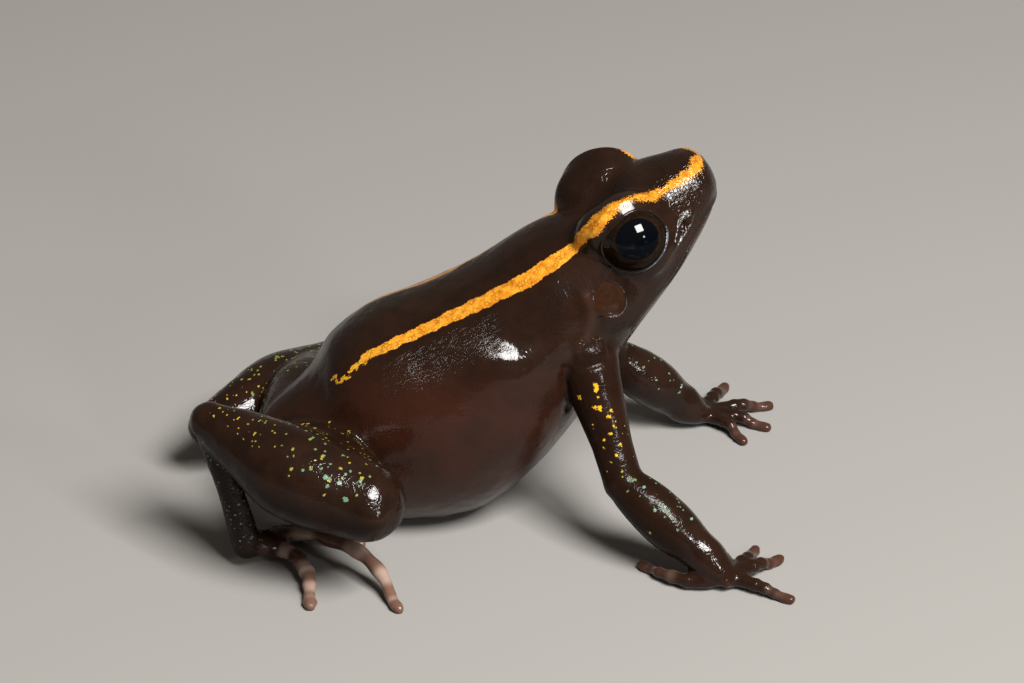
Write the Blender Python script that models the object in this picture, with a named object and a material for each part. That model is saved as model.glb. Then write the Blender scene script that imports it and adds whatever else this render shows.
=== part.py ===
"""A still, life-size model of a small striped poison frog, sitting upright with its head raised.

Frame: metres, +Z up, +X towards the snout, +Y to the frog's left, floor at z = 0, origin under the
middle of the animal. Places and sizes below are in design units: one unit is a millimetre on a frog
whose snout-vent length is 24 mm, and UNIT scales them to the length in SNOUT_VENT.
"""

import math

import bmesh
import bpy
from mathutils import Matrix, Vector

V = Vector

# Driving dimensions
SNOUT_VENT = 0.024
UNIT = SNOUT_VENT / 24.0
GAP = 0.3
SECTION_POINTS = 34
UP = V((0, 0, 1))

# Head: the middle of the blunt snout, and how far the head is raised and turned to the left
SNOUT = V((12.2, 0.63, 15.95))
HEAD_PITCH = math.radians(26)
HEAD_YAW = math.radians(4.5)
NECK_BEHIND = 8.3

# Eyes, eyelids and ears, in the head's own frame: behind, sideways and above the snout's middle
EYE_PLACE = (4.4, 2.5, 0.78)
EYE_RADIUS = 1.6
EYE_SPACE = 0.25
LID_PLACE = (4.45, 2.35, 0.72)
LID_RADIUS = 2.13
LID_REAR_PLACE = (5.15, 2.2, 0.75)
LID_REAR_RADIUS = 1.98
GAZE = (0.1, 0.9, 0.36)
LID_OPENING = 1.68
EAR_BEHIND = 6.55
EAR_ANGLE = 16
EAR_CURVE = 1.6
EAR_DEPTH = 0.17
MOUTH_DEPTH = 0.17
NOSTRIL_BEHIND = 1.9
NOSTRIL_ANGLE = 5
NOSTRIL_RADIUS = 0.17

# Trunk sections from vent to chest: x, z and pitch of the section, half width, height above its
# middle, depth below it, and the powers of the upper and lower superellipse
TRUNK = [
    (-8.75, 5.05, -5, 0.55, 0.45, 0.6, 2.0, 2.0),
    (-8.3, 4.9, 0, 1.4, 0.9, 1.5, 2.0, 2.0),
    (-7.3, 4.75, 6, 2.4, 1.7, 2.9, 2.0, 2.0),
    (-5.9, 4.75, 13, 3.3, 2.65, 4.2, 2.0, 2.1),
    (-3.9, 5.2, 22, 4.3, 4.1, 5.72, 2.05, 2.2),
    (-1.3, 5.85, 28, 4.9, 5.0, 6.0, 2.1, 2.2),
    (1.4, 7.15, 33, 4.85, 4.75, 5.2, 2.1, 2.1),
    (3.6, 8.9, 35, 4.35, 4.1, 4.5, 2.1, 2.0),
    (5.4, 10.5, 31, 3.9, 3.75, 4.1, 2.1, 2.0),
]
# Head sections: distance behind the snout, half width, heights of the widest line, the crown and the
# underside of the jaw, and the two powers
HEAD = [
    (6.2, 3.75, -1.9, 1.6, -4.25, 2.2, 2.0),
    (4.8, 3.4, -1.5, 1.7, -3.6, 2.4, 2.0),
    (3.4, 2.95, -1.0, 2.12, -3.0, 2.6, 2.0),
    (2.2, 2.4, -0.5, 2.1, -2.35, 2.5, 2.1),
    (1.2, 1.95, -0.1, 1.93, -1.7, 2.4, 2.1),
    (0.5, 1.6, 0.2, 1.8, -1.15, 2.3, 2.1),
    (0.05, 1.25, 0.4, 1.55, -0.65, 2.1, 2.0),
    (-0.2, 0.75, 0.42, 1.1, -0.2, 2.0, 2.0),
]

# Joints and muscles of the limbs. The right side is nearer the photographer.
ARMS = {
    "right": {
        "shoulder": V((5.9, -3.0, 8.9)),
        "elbow": V((7.1, -6.4, 4.15)),
        "wrist": V((10.7, -8.85, 1.15)),
        "palm": V((11.6, -9.3, 0.5)),
        "fingers": [
            [(11.0, -9.4, 0.5), (9.9, -9.4, 0.42), (8.7, -8.6, 0.42), (7.95, -7.4, 0.18)],
            [(11.7, -8.9, 0.5), (12.6, -8.0, 0.5), (13.2, -6.95, 0.18)],
            [(12.0, -9.1, 0.5), (13.1, -8.5, 0.5), (14.1, -7.85, 0.18)],
            [(11.9, -9.5, 0.45), (12.9, -10.35, 0.42), (13.9, -11.1, 0.18)],
        ],
    },
    "left": {
        "shoulder": V((5.9, 3.0, 8.9)),
        "elbow": V((8.6, 5.1, 4.2)),
        "wrist": V((12.3, 5.1, 1.05)),
        "palm": V((13.2, 5.3, 0.5)),
        "fingers": [
            [(13.4, 4.9, 0.5), (14.2, 4.0, 0.5), (14.6, 3.0, 0.18)],
            [(13.8, 5.1, 0.5), (14.9, 4.6, 0.5), (15.9, 4.0, 0.18)],
            [(13.8, 5.4, 0.5), (15.1, 5.7, 0.5), (16.4, 5.9, 0.18)],
            [(13.3, 5.8, 0.5), (14.1, 6.9, 0.5), (14.7, 7.9, 0.18)],
        ],
    },
}
LEGS = {
    "right": {
        "hip": V((-7.0, -1.6, 4.1)),
        "thigh": V((-6.3, -4.6, 4.95)),
        "knee": V((-5.2, -7.8, 5.3)),
        "calf": V((-7.9, -6.3, 6.0)),
        "shin": V((-9.9, -4.6, 6.7)),
        "heel": V((-11.6, -3.3, 7.4)),
        "ankle": V((-10.1, -4.2, 1.15)),
        "instep": V((-9.0, -3.8, 0.9)),
        "toes": [
            [(-8.9, -3.2, 0.7), (-8.2, -2.5, 0.55), (-7.4, -1.9, 0.18)],
            [(-8.8, -3.3, 0.8), (-7.4, -2.7, 0.6), (-6.0, -2.4, 0.18)],
            [(-8.7, -3.3, 0.95), (-6.8, -3.0, 0.8), (-4.9, -3.4, 0.18)],
            [(-8.7, -3.4, 1.1), (-7.1, -4.3, 1.55), (-5.35, -5.7, 1.4), (-4.3, -7.2, 0.9), (-3.8, -9.0, 0.18)],
            [(-9.0, -4.0, 0.8), (-8.0, -4.8, 0.75), (-7.55, -6.3, 0.55), (-7.7, -8.1, 0.18)],
        ],
    },
    "left": {
        "hip": V((-7.0, 1.6, 3.9)),
        "thigh": V((-6.3, 4.4, 3.5)),
        "knee": V((-4.9, 7.5, 2.7)),
        "calf": V((-7.3, 6.0, 2.8)),
        "shin": V((-9.3, 4.8, 2.9)),
        "heel": V((-11.1, 3.8, 2.9)),
        "ankle": V((-9.2, 8.3, 0.9)),
        "instep": V((-8.2, 8.7, 0.8)),
        "toes": [
            [(-8.0, 8.5, 0.6), (-7.1, 8.5, 0.45), (-6.2, 8.6, 0.18)],
            [(-7.9, 8.8, 0.65), (-6.5, 9.0, 0.55), (-5.0, 9.0, 0.18)],
            [(-7.9, 9.0, 0.7), (-5.9, 9.6, 0.65), (-3.9, 9.8, 0.18)],
            [(-7.9, 9.2, 0.75), (-6.0, 10.2, 0.85), (-4.1, 11.0, 0.6), (-2.6, 11.5, 0.18)],
            [(-8.1, 9.3, 0.65), (-7.1, 10.5, 0.6), (-6.3, 11.8, 0.18)],
        ],
    },
}
# Radii of the limbs from root to end
UPPER_ARM = (1.5, 1.18, 0.95, 0.92)
FOREARM = (0.9, 1.15, 1.2, 1.0)
FOREARM_SHARE = 0.8
WRIST = (0.98, 0.92, 0.85)
THIGH = (1.9, 2.0, 1.75)
SHANK = (1.85, 2.15, 1.6, 0.9)
TARSUS = (0.8, 0.62, 0.7)
FINGER = (0.4, 0.32, 0.27)
TOE = (0.44, 0.36, 0.3)
FINGER_DISC = 0.4
TOE_DISC = 0.42


def head_frame():
    cp, sp, cy, sy = math.cos(HEAD_PITCH), math.sin(HEAD_PITCH), math.cos(HEAD_YAW), math.sin(HEAD_YAW)
    forward, left = V((cp * cy, cp * sy, sp)), V((-sy, cy, 0))
    return forward, left, forward.cross(left)


FORWARD, LEFT, CROWN = head_frame()


def on_head(behind, left, height):
    """The place this far behind, left of and above the middle of the snout, along the head's own axes."""
    return SNOUT - FORWARD * behind + LEFT * left + CROWN * height


def body_rows():
    """Sections from vent to snout: centre, half width, above, below, the two powers, pitch and yaw."""
    rows = [(x, 0, z, w, up, down, p, q, math.radians(pitch), 0) for x, z, pitch, w, up, down, p, q in TRUNK]
    for behind, w, widest, crown, chin, p, q in HEAD:
        rows.append((*on_head(behind, 0, widest), w, crown - widest, widest - chin, p, q, HEAD_PITCH, HEAD_YAW))
    return rows


def smooth(rows, steps):
    """Catmull-Rom through rows of numbers, with that many steps between each two rows."""
    ends = [rows[0], *rows, rows[-1]]
    made = []
    for i in range(len(rows) - 1):
        for k in range(steps):
            t = k / steps
            made.append([
                0.5 * (2 * b + (c - a) * t + (2 * a - 5 * b + 4 * c - d) * t * t + (3 * b - a - 3 * c + d) * t**3)
                for a, b, c, d in zip(*ends[i : i + 4])
            ])
    made.append(list(rows[-1]))
    return made


def section_point(row, angle, swell=0.0):
    """A point on one section of the body: 0 is its left side, 90 degrees its top."""
    x, y, z, width, above, below, power_up, power_down, pitch, yaw = row
    c, s = math.cos(angle), math.sin(angle)
    power = 2.0 / (power_up if s >= 0 else power_down)
    height = (above if s >= 0 else below) + swell
    side = math.copysign(abs(c) ** power, c) * (width + swell)
    lift = math.copysign(abs(s) ** power, s) * height
    left = V((-math.sin(yaw), math.cos(yaw), 0))
    up = V((-math.sin(pitch) * math.cos(yaw), -math.sin(pitch) * math.sin(yaw), math.cos(pitch)))
    return V((x, y, z)) + left * side + up * lift


def as_object(name, mesh):
    data = bpy.data.meshes.new(name)
    bmesh.ops.recalc_face_normals(mesh, faces=mesh.faces)
    bmesh.ops.triangulate(mesh, faces=mesh.faces)
    mesh.to_mesh(data)
    mesh.free()
    made = bpy.data.objects.new(name, data)
    bpy.context.scene.collection.objects.link(made)
    return made


def loft(name, rings, first_pole, last_pole):
    """One closed body through rings of equal count, closed by a fan to a pole at each end."""
    mesh = bmesh.new()
    made = [[mesh.verts.new(point * UNIT) for point in ring] for ring in rings]
    count = len(made[0])
    for low, high in zip(made, made[1:]):
        for k in range(count):
            mesh.faces.new((low[k], low[(k + 1) % count], high[(k + 1) % count], high[k]))
    first, last = mesh.verts.new(first_pole * UNIT), mesh.verts.new(last_pole * UNIT)
    for k in range(count):
        mesh.faces.new((first, made[0][(k + 1) % count], made[0][k]))
        mesh.faces.new((last, made[-1][k], made[-1][(k + 1) % count]))
    return as_object(name, mesh)


def make_body(name, swell=0.0):
    """Trunk and head in one loft. swell makes the same shape larger all round, to cut clearances."""
    angles = [2 * math.pi * k / SECTION_POINTS for k in range(SECTION_POINTS)]
    rings = [[section_point(row, a, swell) for a in angles] for row in smooth(body_rows(), 3)]
    return loft(name, rings, V((-8.95 - swell, 0, 5.05)), on_head(-0.3 - swell, 0, 0.42))


def limb(name, stops, sides=12, steps=3, swell=0.0):
    """A round limb through stops of place, half width and half height, with a dome on each end."""
    rows = smooth([(*place, wide + swell, tall + swell) for place, wide, tall in stops], steps)
    places = [V(row[:3]) for row in rows]
    rings = []

    def ring(place, along, wide, tall):
        side = along.cross(UP).normalized()
        if side.length < 0.5:
            side = V((0, 1, 0))
        lift = side.cross(along).normalized()
        turns = [2 * math.pi * (k + 0.5) / sides for k in range(sides)]
        return [place + side * wide * math.cos(t) + lift * tall * math.sin(t) for t in turns]

    last = len(rows) - 1
    alongs = [(places[min(k + 1, last)] - places[max(k - 1, 0)]).normalized() for k in range(last + 1)]
    first_reach, last_reach = min(rows[0][3:]), min(rows[-1][3:])
    for share in (0.87, 0.5):
        shrink = math.sqrt(1 - share * share)
        place = places[0] - alongs[0] * first_reach * share
        rings.append(ring(place, alongs[0], rows[0][3] * shrink, rows[0][4] * shrink))
    for place, along, row in zip(places, alongs, rows):
        rings.append(ring(place, along, row[3], row[4]))
    for share in (0.5, 0.87):
        shrink = math.sqrt(1 - share * share)
        place = places[-1] + alongs[-1] * last_reach * share
        rings.append(ring(place, alongs[-1], rows[-1][3] * shrink, rows[-1][4] * shrink))
    return loft(name, rings, places[0] - alongs[0] * first_reach, places[-1] + alongs[-1] * last_reach)


def ball(name, centre, radius, segments=20, rings=12):
    mesh = bmesh.new()
    bmesh.ops.create_uvsphere(mesh, u_segments=segments, v_segments=rings, radius=radius * UNIT)
    bmesh.ops.translate(mesh, verts=mesh.verts, vec=centre * UNIT)
    return as_object(name, mesh)


def block(name, low, high, turn=None):
    """A box between two corners, turned about the design origin by a matrix if one is given."""
    mesh = bmesh.new()
    bmesh.ops.create_cube(mesh, size=1.0)
    size, middle = V(high) - V(low), (V(high) + V(low)) / 2
    place = Matrix.Translation(middle) @ Matrix.Diagonal((*size, 1))
    bmesh.ops.transform(mesh, verts=mesh.verts, matrix=Matrix.Scale(UNIT, 4) @ (turn or Matrix()) @ place)
    return as_object(name, mesh)


def keep_largest(obj):
    """Drops every loose scrap that a cut leaves and keeps the body with the most faces."""
    mesh = bmesh.new()
    mesh.from_mesh(obj.data)
    bmesh.ops.remove_doubles(mesh, verts=mesh.verts, dist=0.000002)
    bmesh.ops.dissolve_degenerate(mesh, edges=mesh.edges, dist=0.000002)
    bmesh.ops.triangulate(mesh, faces=mesh.faces)
    mesh.faces.index_update()
    found, groups = set(), []
    for start in mesh.faces:
        if start.index in found:
            continue
        found.add(start.index)
        group = [start]
        for face in group:
            for other in (other for edge in face.edges for other in edge.link_faces):
                if other.index not in found:
                    found.add(other.index)
                    group.append(other)
        groups.append(group)
    largest = max(groups, key=len)
    scraps = [face for group in groups if group is not largest for face in group]
    bmesh.ops.delete(mesh, geom=scraps, context="FACES")
    bmesh.ops.delete(mesh, geom=[vert for vert in mesh.verts if not vert.link_faces], context="VERTS")
    mesh.to_mesh(obj.data)
    mesh.free()
    return obj


def combine(obj, tools, operation):
    """Joins the tools to the object, or cuts them out of it, and removes them."""
    for tool in tools:
        step = obj.modifiers.new(tool.name, "BOOLEAN")
        step.operation = operation
        step.solver = "EXACT"
        step.object = tool
        bpy.context.view_layer.update()
        graph = bpy.context.evaluated_depsgraph_get()
        data = bpy.data.meshes.new_from_object(obj.evaluated_get(graph))
        obj.modifiers.clear()
        obj.data = data
        bpy.data.objects.remove(tool)
    return keep_largest(obj)


def head_turn():
    """The matrix from the head's own axes to the design axes, with its origin at the snout."""
    turn = Matrix((FORWARD, LEFT, CROWN)).transposed().to_4x4()
    return Matrix.Translation(SNOUT) @ turn


def body_at(behind, degrees, side):
    """A point on the head's skin, by distance behind the snout and angle round the section."""
    rows = smooth(body_rows(), 3)
    reach = [(SNOUT - V(row[:3])).dot(FORWARD) for row in rows]
    k = min(max(i for i, far in enumerate(reach) if far >= behind), len(rows) - 2)
    share = (reach[k] - behind) / (reach[k] - reach[k + 1])
    angle = math.radians(degrees if side > 0 else 180 - degrees)
    return section_point(rows[k], angle).lerp(section_point(rows[k + 1], angle), share)


def mouth_stops():
    """Points of the mouth line on the skin, from the right corner round the snout to the left corner."""
    line = [(6.4, -19), (5.3, -11), (4.2, -10), (3.1, -12), (2.1, -18), (1.2, -28), (0.5, -40)]
    right = [body_at(behind, angle, -1) for behind, angle in line]
    left = [body_at(behind, angle, 1) for behind, angle in reversed(line)]
    return right + [on_head(0.08, 0, -0.72)] + left


def make_head_and_torso():
    body = make_body("head")
    domes = ((LID_PLACE, LID_RADIUS), (LID_REAR_PLACE, LID_REAR_RADIUS))
    lids = [ball(f"lid_{s}", on_head(at[0], s * at[1], at[2]), size) for at, size in domes for s in (-1, 1)]
    combine(body, lids, "UNION")
    for s in (-1, 1):
        centre = on_head(EYE_PLACE[0], s * EYE_PLACE[1], EYE_PLACE[2])
        outward = (FORWARD * GAZE[0] + LEFT * s * GAZE[1] + CROWN * GAZE[2]).normalized()
        socket = ball("socket", centre, EYE_RADIUS + EYE_SPACE)
        opening = limb("opening", [
            (centre + outward * 0.75, LID_OPENING, LID_OPENING), (centre + outward * 6, 4.5, 4.5),
        ], sides=22, steps=1)
        combine(body, [socket, opening], "DIFFERENCE")
        skin = body_at(EAR_BEHIND, EAR_ANGLE, s)
        outward = (skin - on_head(EAR_BEHIND, 0, -2.0)).normalized()
        ear = ball("ear", skin + outward * (EAR_CURVE - EAR_DEPTH), EAR_CURVE, 22, 14)
        combine(body, [ear], "DIFFERENCE")
    mouth = limb("mouth", [(p, MOUTH_DEPTH, MOUTH_DEPTH) for p in mouth_stops()], sides=6, steps=2)
    pits = [
        ball("pit", body_at(NOSTRIL_BEHIND, NOSTRIL_ANGLE, s), NOSTRIL_RADIUS, 8, 6) for s in (-1, 1)
    ]
    floor = block("floor", (-30, -30, -5), (30, 30, 0))
    combine(body, [mouth, *pits, floor], "DIFFERENCE")
    torso = body.copy()
    torso.data = body.data.copy()
    torso.name = "torso"
    bpy.context.scene.collection.objects.link(torso)
    turn = head_turn()
    front = block("front", (-NECK_BEHIND - GAP / 2, -30, -30), (30, 30, 30), turn)
    rear = block("rear", (-60, -30, -30), (-NECK_BEHIND + GAP / 2, 30, 30), turn)
    combine(body, [rear], "DIFFERENCE")
    combine(torso, [front], "DIFFERENCE")
    return body, torso


def finish(obj, cutters):
    """Cuts the clearances and the flats on the floor into one limb's solid."""
    floor = block("floor", (-30, -30, -5), (30, 30, 0))
    return combine(obj, [*cutters, floor], "DIFFERENCE")


def digit(name, stops, radii, disc):
    """A finger or toe that thins along its length and ends in a small flat disc on the floor."""
    places = [V(stop) for stop in stops]
    along = places[-1] - places[-2]
    along = V((along.x, along.y, 0)).normalized()
    rows = []
    for k, spot in enumerate(places[:-1]):
        share = k / (len(places) - 1) * 2
        low = min(int(share), 1)
        radius = radii[low] + (radii[low + 1] - radii[low]) * (share - low)
        rows.append((spot, radius, radius * 0.92))
    rows.append((places[-1] - along * disc * 1.3 + UP * 0.06, radii[2], radii[2] * 0.9))
    rows.append((places[-1] - along * disc * 0.3, disc, 0.25))
    rows.append((places[-1] + along * disc * 0.45, disc * 0.82, 0.24))
    return limb(name, rows, sides=8, steps=2)


def make_arm(side):
    at = ARMS[side]
    sign = -1 if side == "right" else 1

    def upper(name, swell=0.0):
        a, b = at["shoulder"], at["elbow"]
        stops = [(a, UPPER_ARM[0]), (a.lerp(b, 0.35), UPPER_ARM[1]), (a.lerp(b, 0.7), UPPER_ARM[2]), (b, UPPER_ARM[3])]
        return limb(name, [(p, r, r) for p, r in stops], swell=swell)

    def lower(name, swell=0.0):
        a, b = at["elbow"], at["elbow"].lerp(at["wrist"], FOREARM_SHARE)
        stops = [(a, FOREARM[0]), (a.lerp(b, 0.33), FOREARM[1]), (a.lerp(b, 0.7), FOREARM[2]), (b, FOREARM[3])]
        return limb(name, [(p, r, r) for p, r in stops], swell=swell)

    arm = upper(f"upper_arm_{side}")
    finish(arm, [make_body("space", GAP)])
    forearm = lower(f"forearm_{side}")
    finish(forearm, [upper("space", GAP)])
    elbow, wrist, palm = at["elbow"], at["wrist"], at["palm"]
    hand = limb(f"hand_{side}", [
        (elbow.lerp(wrist, FOREARM_SHARE), WRIST[0], WRIST[0]), (wrist, WRIST[1], WRIST[1]), (palm, WRIST[2], 0.45),
    ])
    digits = [digit(f"finger_{k}", stops, FINGER, FINGER_DISC) for k, stops in enumerate(at["fingers"])]
    combine(hand, digits, "UNION")
    finish(hand, [lower("space", GAP)])
    return [arm, forearm, hand]


def make_leg(side):
    at = LEGS[side]

    def thigh(name, swell=0.0):
        stops = [(at["hip"], THIGH[0]), (at["thigh"], THIGH[1]), (at["knee"], THIGH[2])]
        return limb(name, [(p, r, r) for p, r in stops], sides=14, steps=4, swell=swell)

    def shank(name, swell=0.0):
        out = (at["knee"] - at["calf"]).normalized() * 0.2
        stops = [(at["knee"] + out, SHANK[0]), (at["calf"], SHANK[1]), (at["shin"], SHANK[2]), (at["heel"], SHANK[3])]
        return limb(name, [(p, r, r) for p, r in stops], sides=14, steps=4, swell=swell)

    def tarsus(name, swell=0.0):
        a, b = at["heel"], at["ankle"]
        stops = [(a, TARSUS[0]), (a.lerp(b, 0.5), TARSUS[1]), (b, TARSUS[2])]
        return limb(name, [(p, r, r) for p, r in stops], swell=swell)

    calf = shank(f"shank_{side}")
    finish(calf, [make_body("space", GAP)])
    upper = thigh(f"thigh_{side}")
    finish(upper, [make_body("space", GAP), shank("space", GAP)])
    low = tarsus(f"tarsus_{side}")
    finish(low, [shank("space", GAP)])
    ankle, instep = at["ankle"], at["instep"]
    foot = limb(f"foot_{side}", [(ankle, 0.7, 0.62), (ankle.lerp(instep, 0.6), 0.8, 0.6), (instep, 0.85, 0.5)])
    digits = [digit(f"toe_{k}", stops, TOE, TOE_DISC) for k, stops in enumerate(at["toes"])]
    combine(foot, digits, "UNION")
    finish(foot, [tarsus("space", GAP)])
    return [calf, upper, low, foot]


def material(name, colour, roughness):
    made = bpy.data.materials.new(name)
    made.use_nodes = True
    made.diffuse_color = (*colour, 1)
    shader = made.node_tree.nodes["Principled BSDF"]
    shader.inputs["Base Color"].default_value = (*colour, 1)
    shader.inputs["Roughness"].default_value = roughness
    shader.inputs["Metallic"].default_value = 0.0
    return made


def place(parts):
    """Names the materials, centres the animal over the origin and gives each object its own origin."""
    home = bpy.data.collections.new("poison_frog")
    bpy.context.scene.collection.children.link(home)
    corners = [vert.co for obj in parts for vert in obj.data.vertices]
    low = V([min(c[i] for c in corners) for i in range(3)])
    high = V([max(c[i] for c in corners) for i in range(3)])
    shift = V(((low.x + high.x) / 2, (low.y + high.y) / 2, 0))
    for obj in parts:
        bpy.context.scene.collection.objects.unlink(obj)
        home.objects.link(obj)
        points = [vert.co for vert in obj.data.vertices]
        middle = sum(points, V((0, 0, 0))) / len(points)
        obj.data.transform(Matrix.Translation(-middle))
        obj.location = middle - shift
        obj.data.polygons.foreach_set("use_smooth", [True] * len(obj.data.polygons))
        if obj.name.startswith("eye"):
            look = material(f"{obj.name}_gloss", (0.018, 0.012, 0.01), 0.08)
        elif obj.name.startswith(("hand", "foot")):
            look = material(f"{obj.name}_skin", (0.16, 0.09, 0.075), 0.35)
        else:
            look = material(f"{obj.name}_skin", (0.045, 0.025, 0.02), 0.3)
        obj.data.materials.clear()
        obj.data.materials.append(look)
    print("shift", tuple(round(v / UNIT, 4) for v in shift))
    print("size", tuple(round(v / UNIT, 4) for v in high - low))


def main():
    for obj in list(bpy.data.objects):
        bpy.data.objects.remove(obj)
    parts = list(make_head_and_torso())
    for side, sign in (("right", -1), ("left", 1)):
        centre = on_head(EYE_PLACE[0], sign * EYE_PLACE[1], EYE_PLACE[2])
        parts.append(ball(f"eye_{side}", centre, EYE_RADIUS, 22, 13))
        parts += make_arm(side) + make_leg(side)
    place(parts)


main()
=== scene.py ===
"""Looks of a small striped poison frog: one wet skin over its solids, detailed eyes and a plain studio.

Shapes are worked out in the frog's design units, where one unit is a millimetre on a frog that is
24 mm long, in a frame with +X towards the snout and +Y to its left. place() moves them to the row
frame, which it finds from where the solids' eye is.
"""

import math

import bmesh
import bpy
import numpy as np
from mathutils import Matrix, Vector
from mathutils.kdtree import KDTree


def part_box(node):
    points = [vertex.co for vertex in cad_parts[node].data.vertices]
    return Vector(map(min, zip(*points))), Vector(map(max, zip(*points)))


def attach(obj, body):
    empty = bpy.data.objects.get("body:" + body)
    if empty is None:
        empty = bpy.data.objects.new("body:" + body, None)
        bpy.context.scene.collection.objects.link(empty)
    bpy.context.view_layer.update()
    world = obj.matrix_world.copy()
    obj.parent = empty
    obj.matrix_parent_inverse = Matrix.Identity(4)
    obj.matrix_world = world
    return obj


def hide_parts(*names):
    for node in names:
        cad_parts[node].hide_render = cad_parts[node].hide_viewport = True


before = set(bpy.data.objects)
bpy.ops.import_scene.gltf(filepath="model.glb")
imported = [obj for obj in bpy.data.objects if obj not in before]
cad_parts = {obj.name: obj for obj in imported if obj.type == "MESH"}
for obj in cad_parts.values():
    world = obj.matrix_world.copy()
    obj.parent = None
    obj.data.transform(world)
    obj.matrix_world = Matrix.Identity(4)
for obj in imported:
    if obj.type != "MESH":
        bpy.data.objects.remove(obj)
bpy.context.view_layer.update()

UNIT = 0.001
SIDES = {"right": -1, "left": 1}
UP = np.array((0.0, 0.0, 1.0))

# Head: the middle of the blunt snout, and how far the head is raised and turned to the left
SNOUT = np.array((12.2, 0.63, 15.95))
HEAD_PITCH = math.radians(26)
HEAD_YAW = math.radians(4.5)

# Eyes in the head's own axes: distance behind the snout, sideways and above its middle
EYE_PLACE = (4.4, 2.5, 0.78)
EYE_RADIUS = 1.6
LID_PLACE = (4.45, 2.35, 0.72)
LID_RADIUS = 2.13
LID_REAR_PLACE = (5.15, 2.2, 0.75)
LID_REAR_RADIUS = 1.98
EYE_GAZE = (0.135, 0.868, 0.47)

# Trunk sections from vent to chest: x, z and pitch of the section, half width, height above its
# middle, depth below it, and the powers of the upper and lower superellipse
TRUNK = [
    (-8.75, 5.05, -5, 0.55, 0.45, 0.6, 2.0, 2.0),
    (-8.3, 4.9, 0, 1.4, 0.9, 1.5, 2.0, 2.0),
    (-7.3, 4.75, 6, 2.4, 1.7, 2.9, 2.0, 2.0),
    (-5.9, 4.75, 13, 3.3, 2.65, 4.2, 2.0, 2.1),
    (-3.9, 5.2, 22, 4.3, 4.1, 5.72, 2.05, 2.2),
    (-1.3, 5.85, 28, 4.9, 5.0, 6.0, 2.1, 2.2),
    (1.4, 7.15, 33, 4.85, 4.75, 5.2, 2.1, 2.1),
    (3.6, 8.9, 35, 4.35, 4.1, 4.5, 2.1, 2.0),
    (5.4, 10.5, 31, 3.9, 3.75, 4.1, 2.1, 2.0),
]
VENT = (-8.95, 0, 5.05)
# Head sections: distance behind the snout, half width, heights of the widest line, the crown and the
# underside of the jaw, and the two powers
HEAD = [
    (6.2, 3.75, -1.9, 1.6, -4.25, 2.2, 2.0),
    (4.8, 3.4, -1.5, 1.7, -3.6, 2.4, 2.0),
    (3.4, 2.95, -1.0, 2.12, -3.0, 2.6, 2.0),
    (2.2, 2.4, -0.5, 2.1, -2.35, 2.5, 2.1),
    (1.2, 1.95, -0.1, 1.93, -1.7, 2.4, 2.1),
    (0.5, 1.6, 0.2, 1.8, -1.15, 2.3, 2.1),
    (0.05, 1.25, 0.4, 1.55, -0.65, 2.1, 2.0),
    (-0.2, 0.75, 0.42, 1.1, -0.2, 2.0, 2.0),
]
SNOUT_TIP = (-0.3, 0, 0.42)

# Joints and muscles of the limbs. The right side is nearer the camera.
ARMS = {
    "right": {
        "shoulder": (5.9, -3.0, 8.9),
        "elbow": (7.1, -6.4, 4.15),
        "wrist": (10.7, -8.85, 1.15),
        "palm": (11.6, -9.3, 0.5),
        "fingers": [
            [(11.0, -9.4, 0.5), (9.9, -9.4, 0.42), (8.7, -8.6, 0.42), (7.95, -7.4, 0.18)],
            [(11.7, -8.9, 0.5), (12.6, -8.0, 0.5), (13.2, -6.95, 0.18)],
            [(12.0, -9.1, 0.5), (13.1, -8.5, 0.5), (14.1, -7.85, 0.18)],
            [(11.9, -9.5, 0.45), (12.9, -10.35, 0.42), (13.9, -11.1, 0.18)],
        ],
    },
    "left": {
        "shoulder": (5.9, 3.0, 8.9),
        "elbow": (8.6, 5.1, 4.2),
        "wrist": (12.3, 5.1, 1.05),
        "palm": (13.2, 5.3, 0.5),
        "fingers": [
            [(13.4, 4.9, 0.5), (14.2, 4.0, 0.5), (14.6, 3.0, 0.18)],
            [(13.8, 5.1, 0.5), (14.9, 4.6, 0.5), (15.9, 4.0, 0.18)],
            [(13.8, 5.4, 0.5), (15.1, 5.7, 0.5), (16.4, 5.9, 0.18)],
            [(13.3, 5.8, 0.5), (14.1, 6.9, 0.5), (14.7, 7.9, 0.18)],
        ],
    },
}
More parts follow.
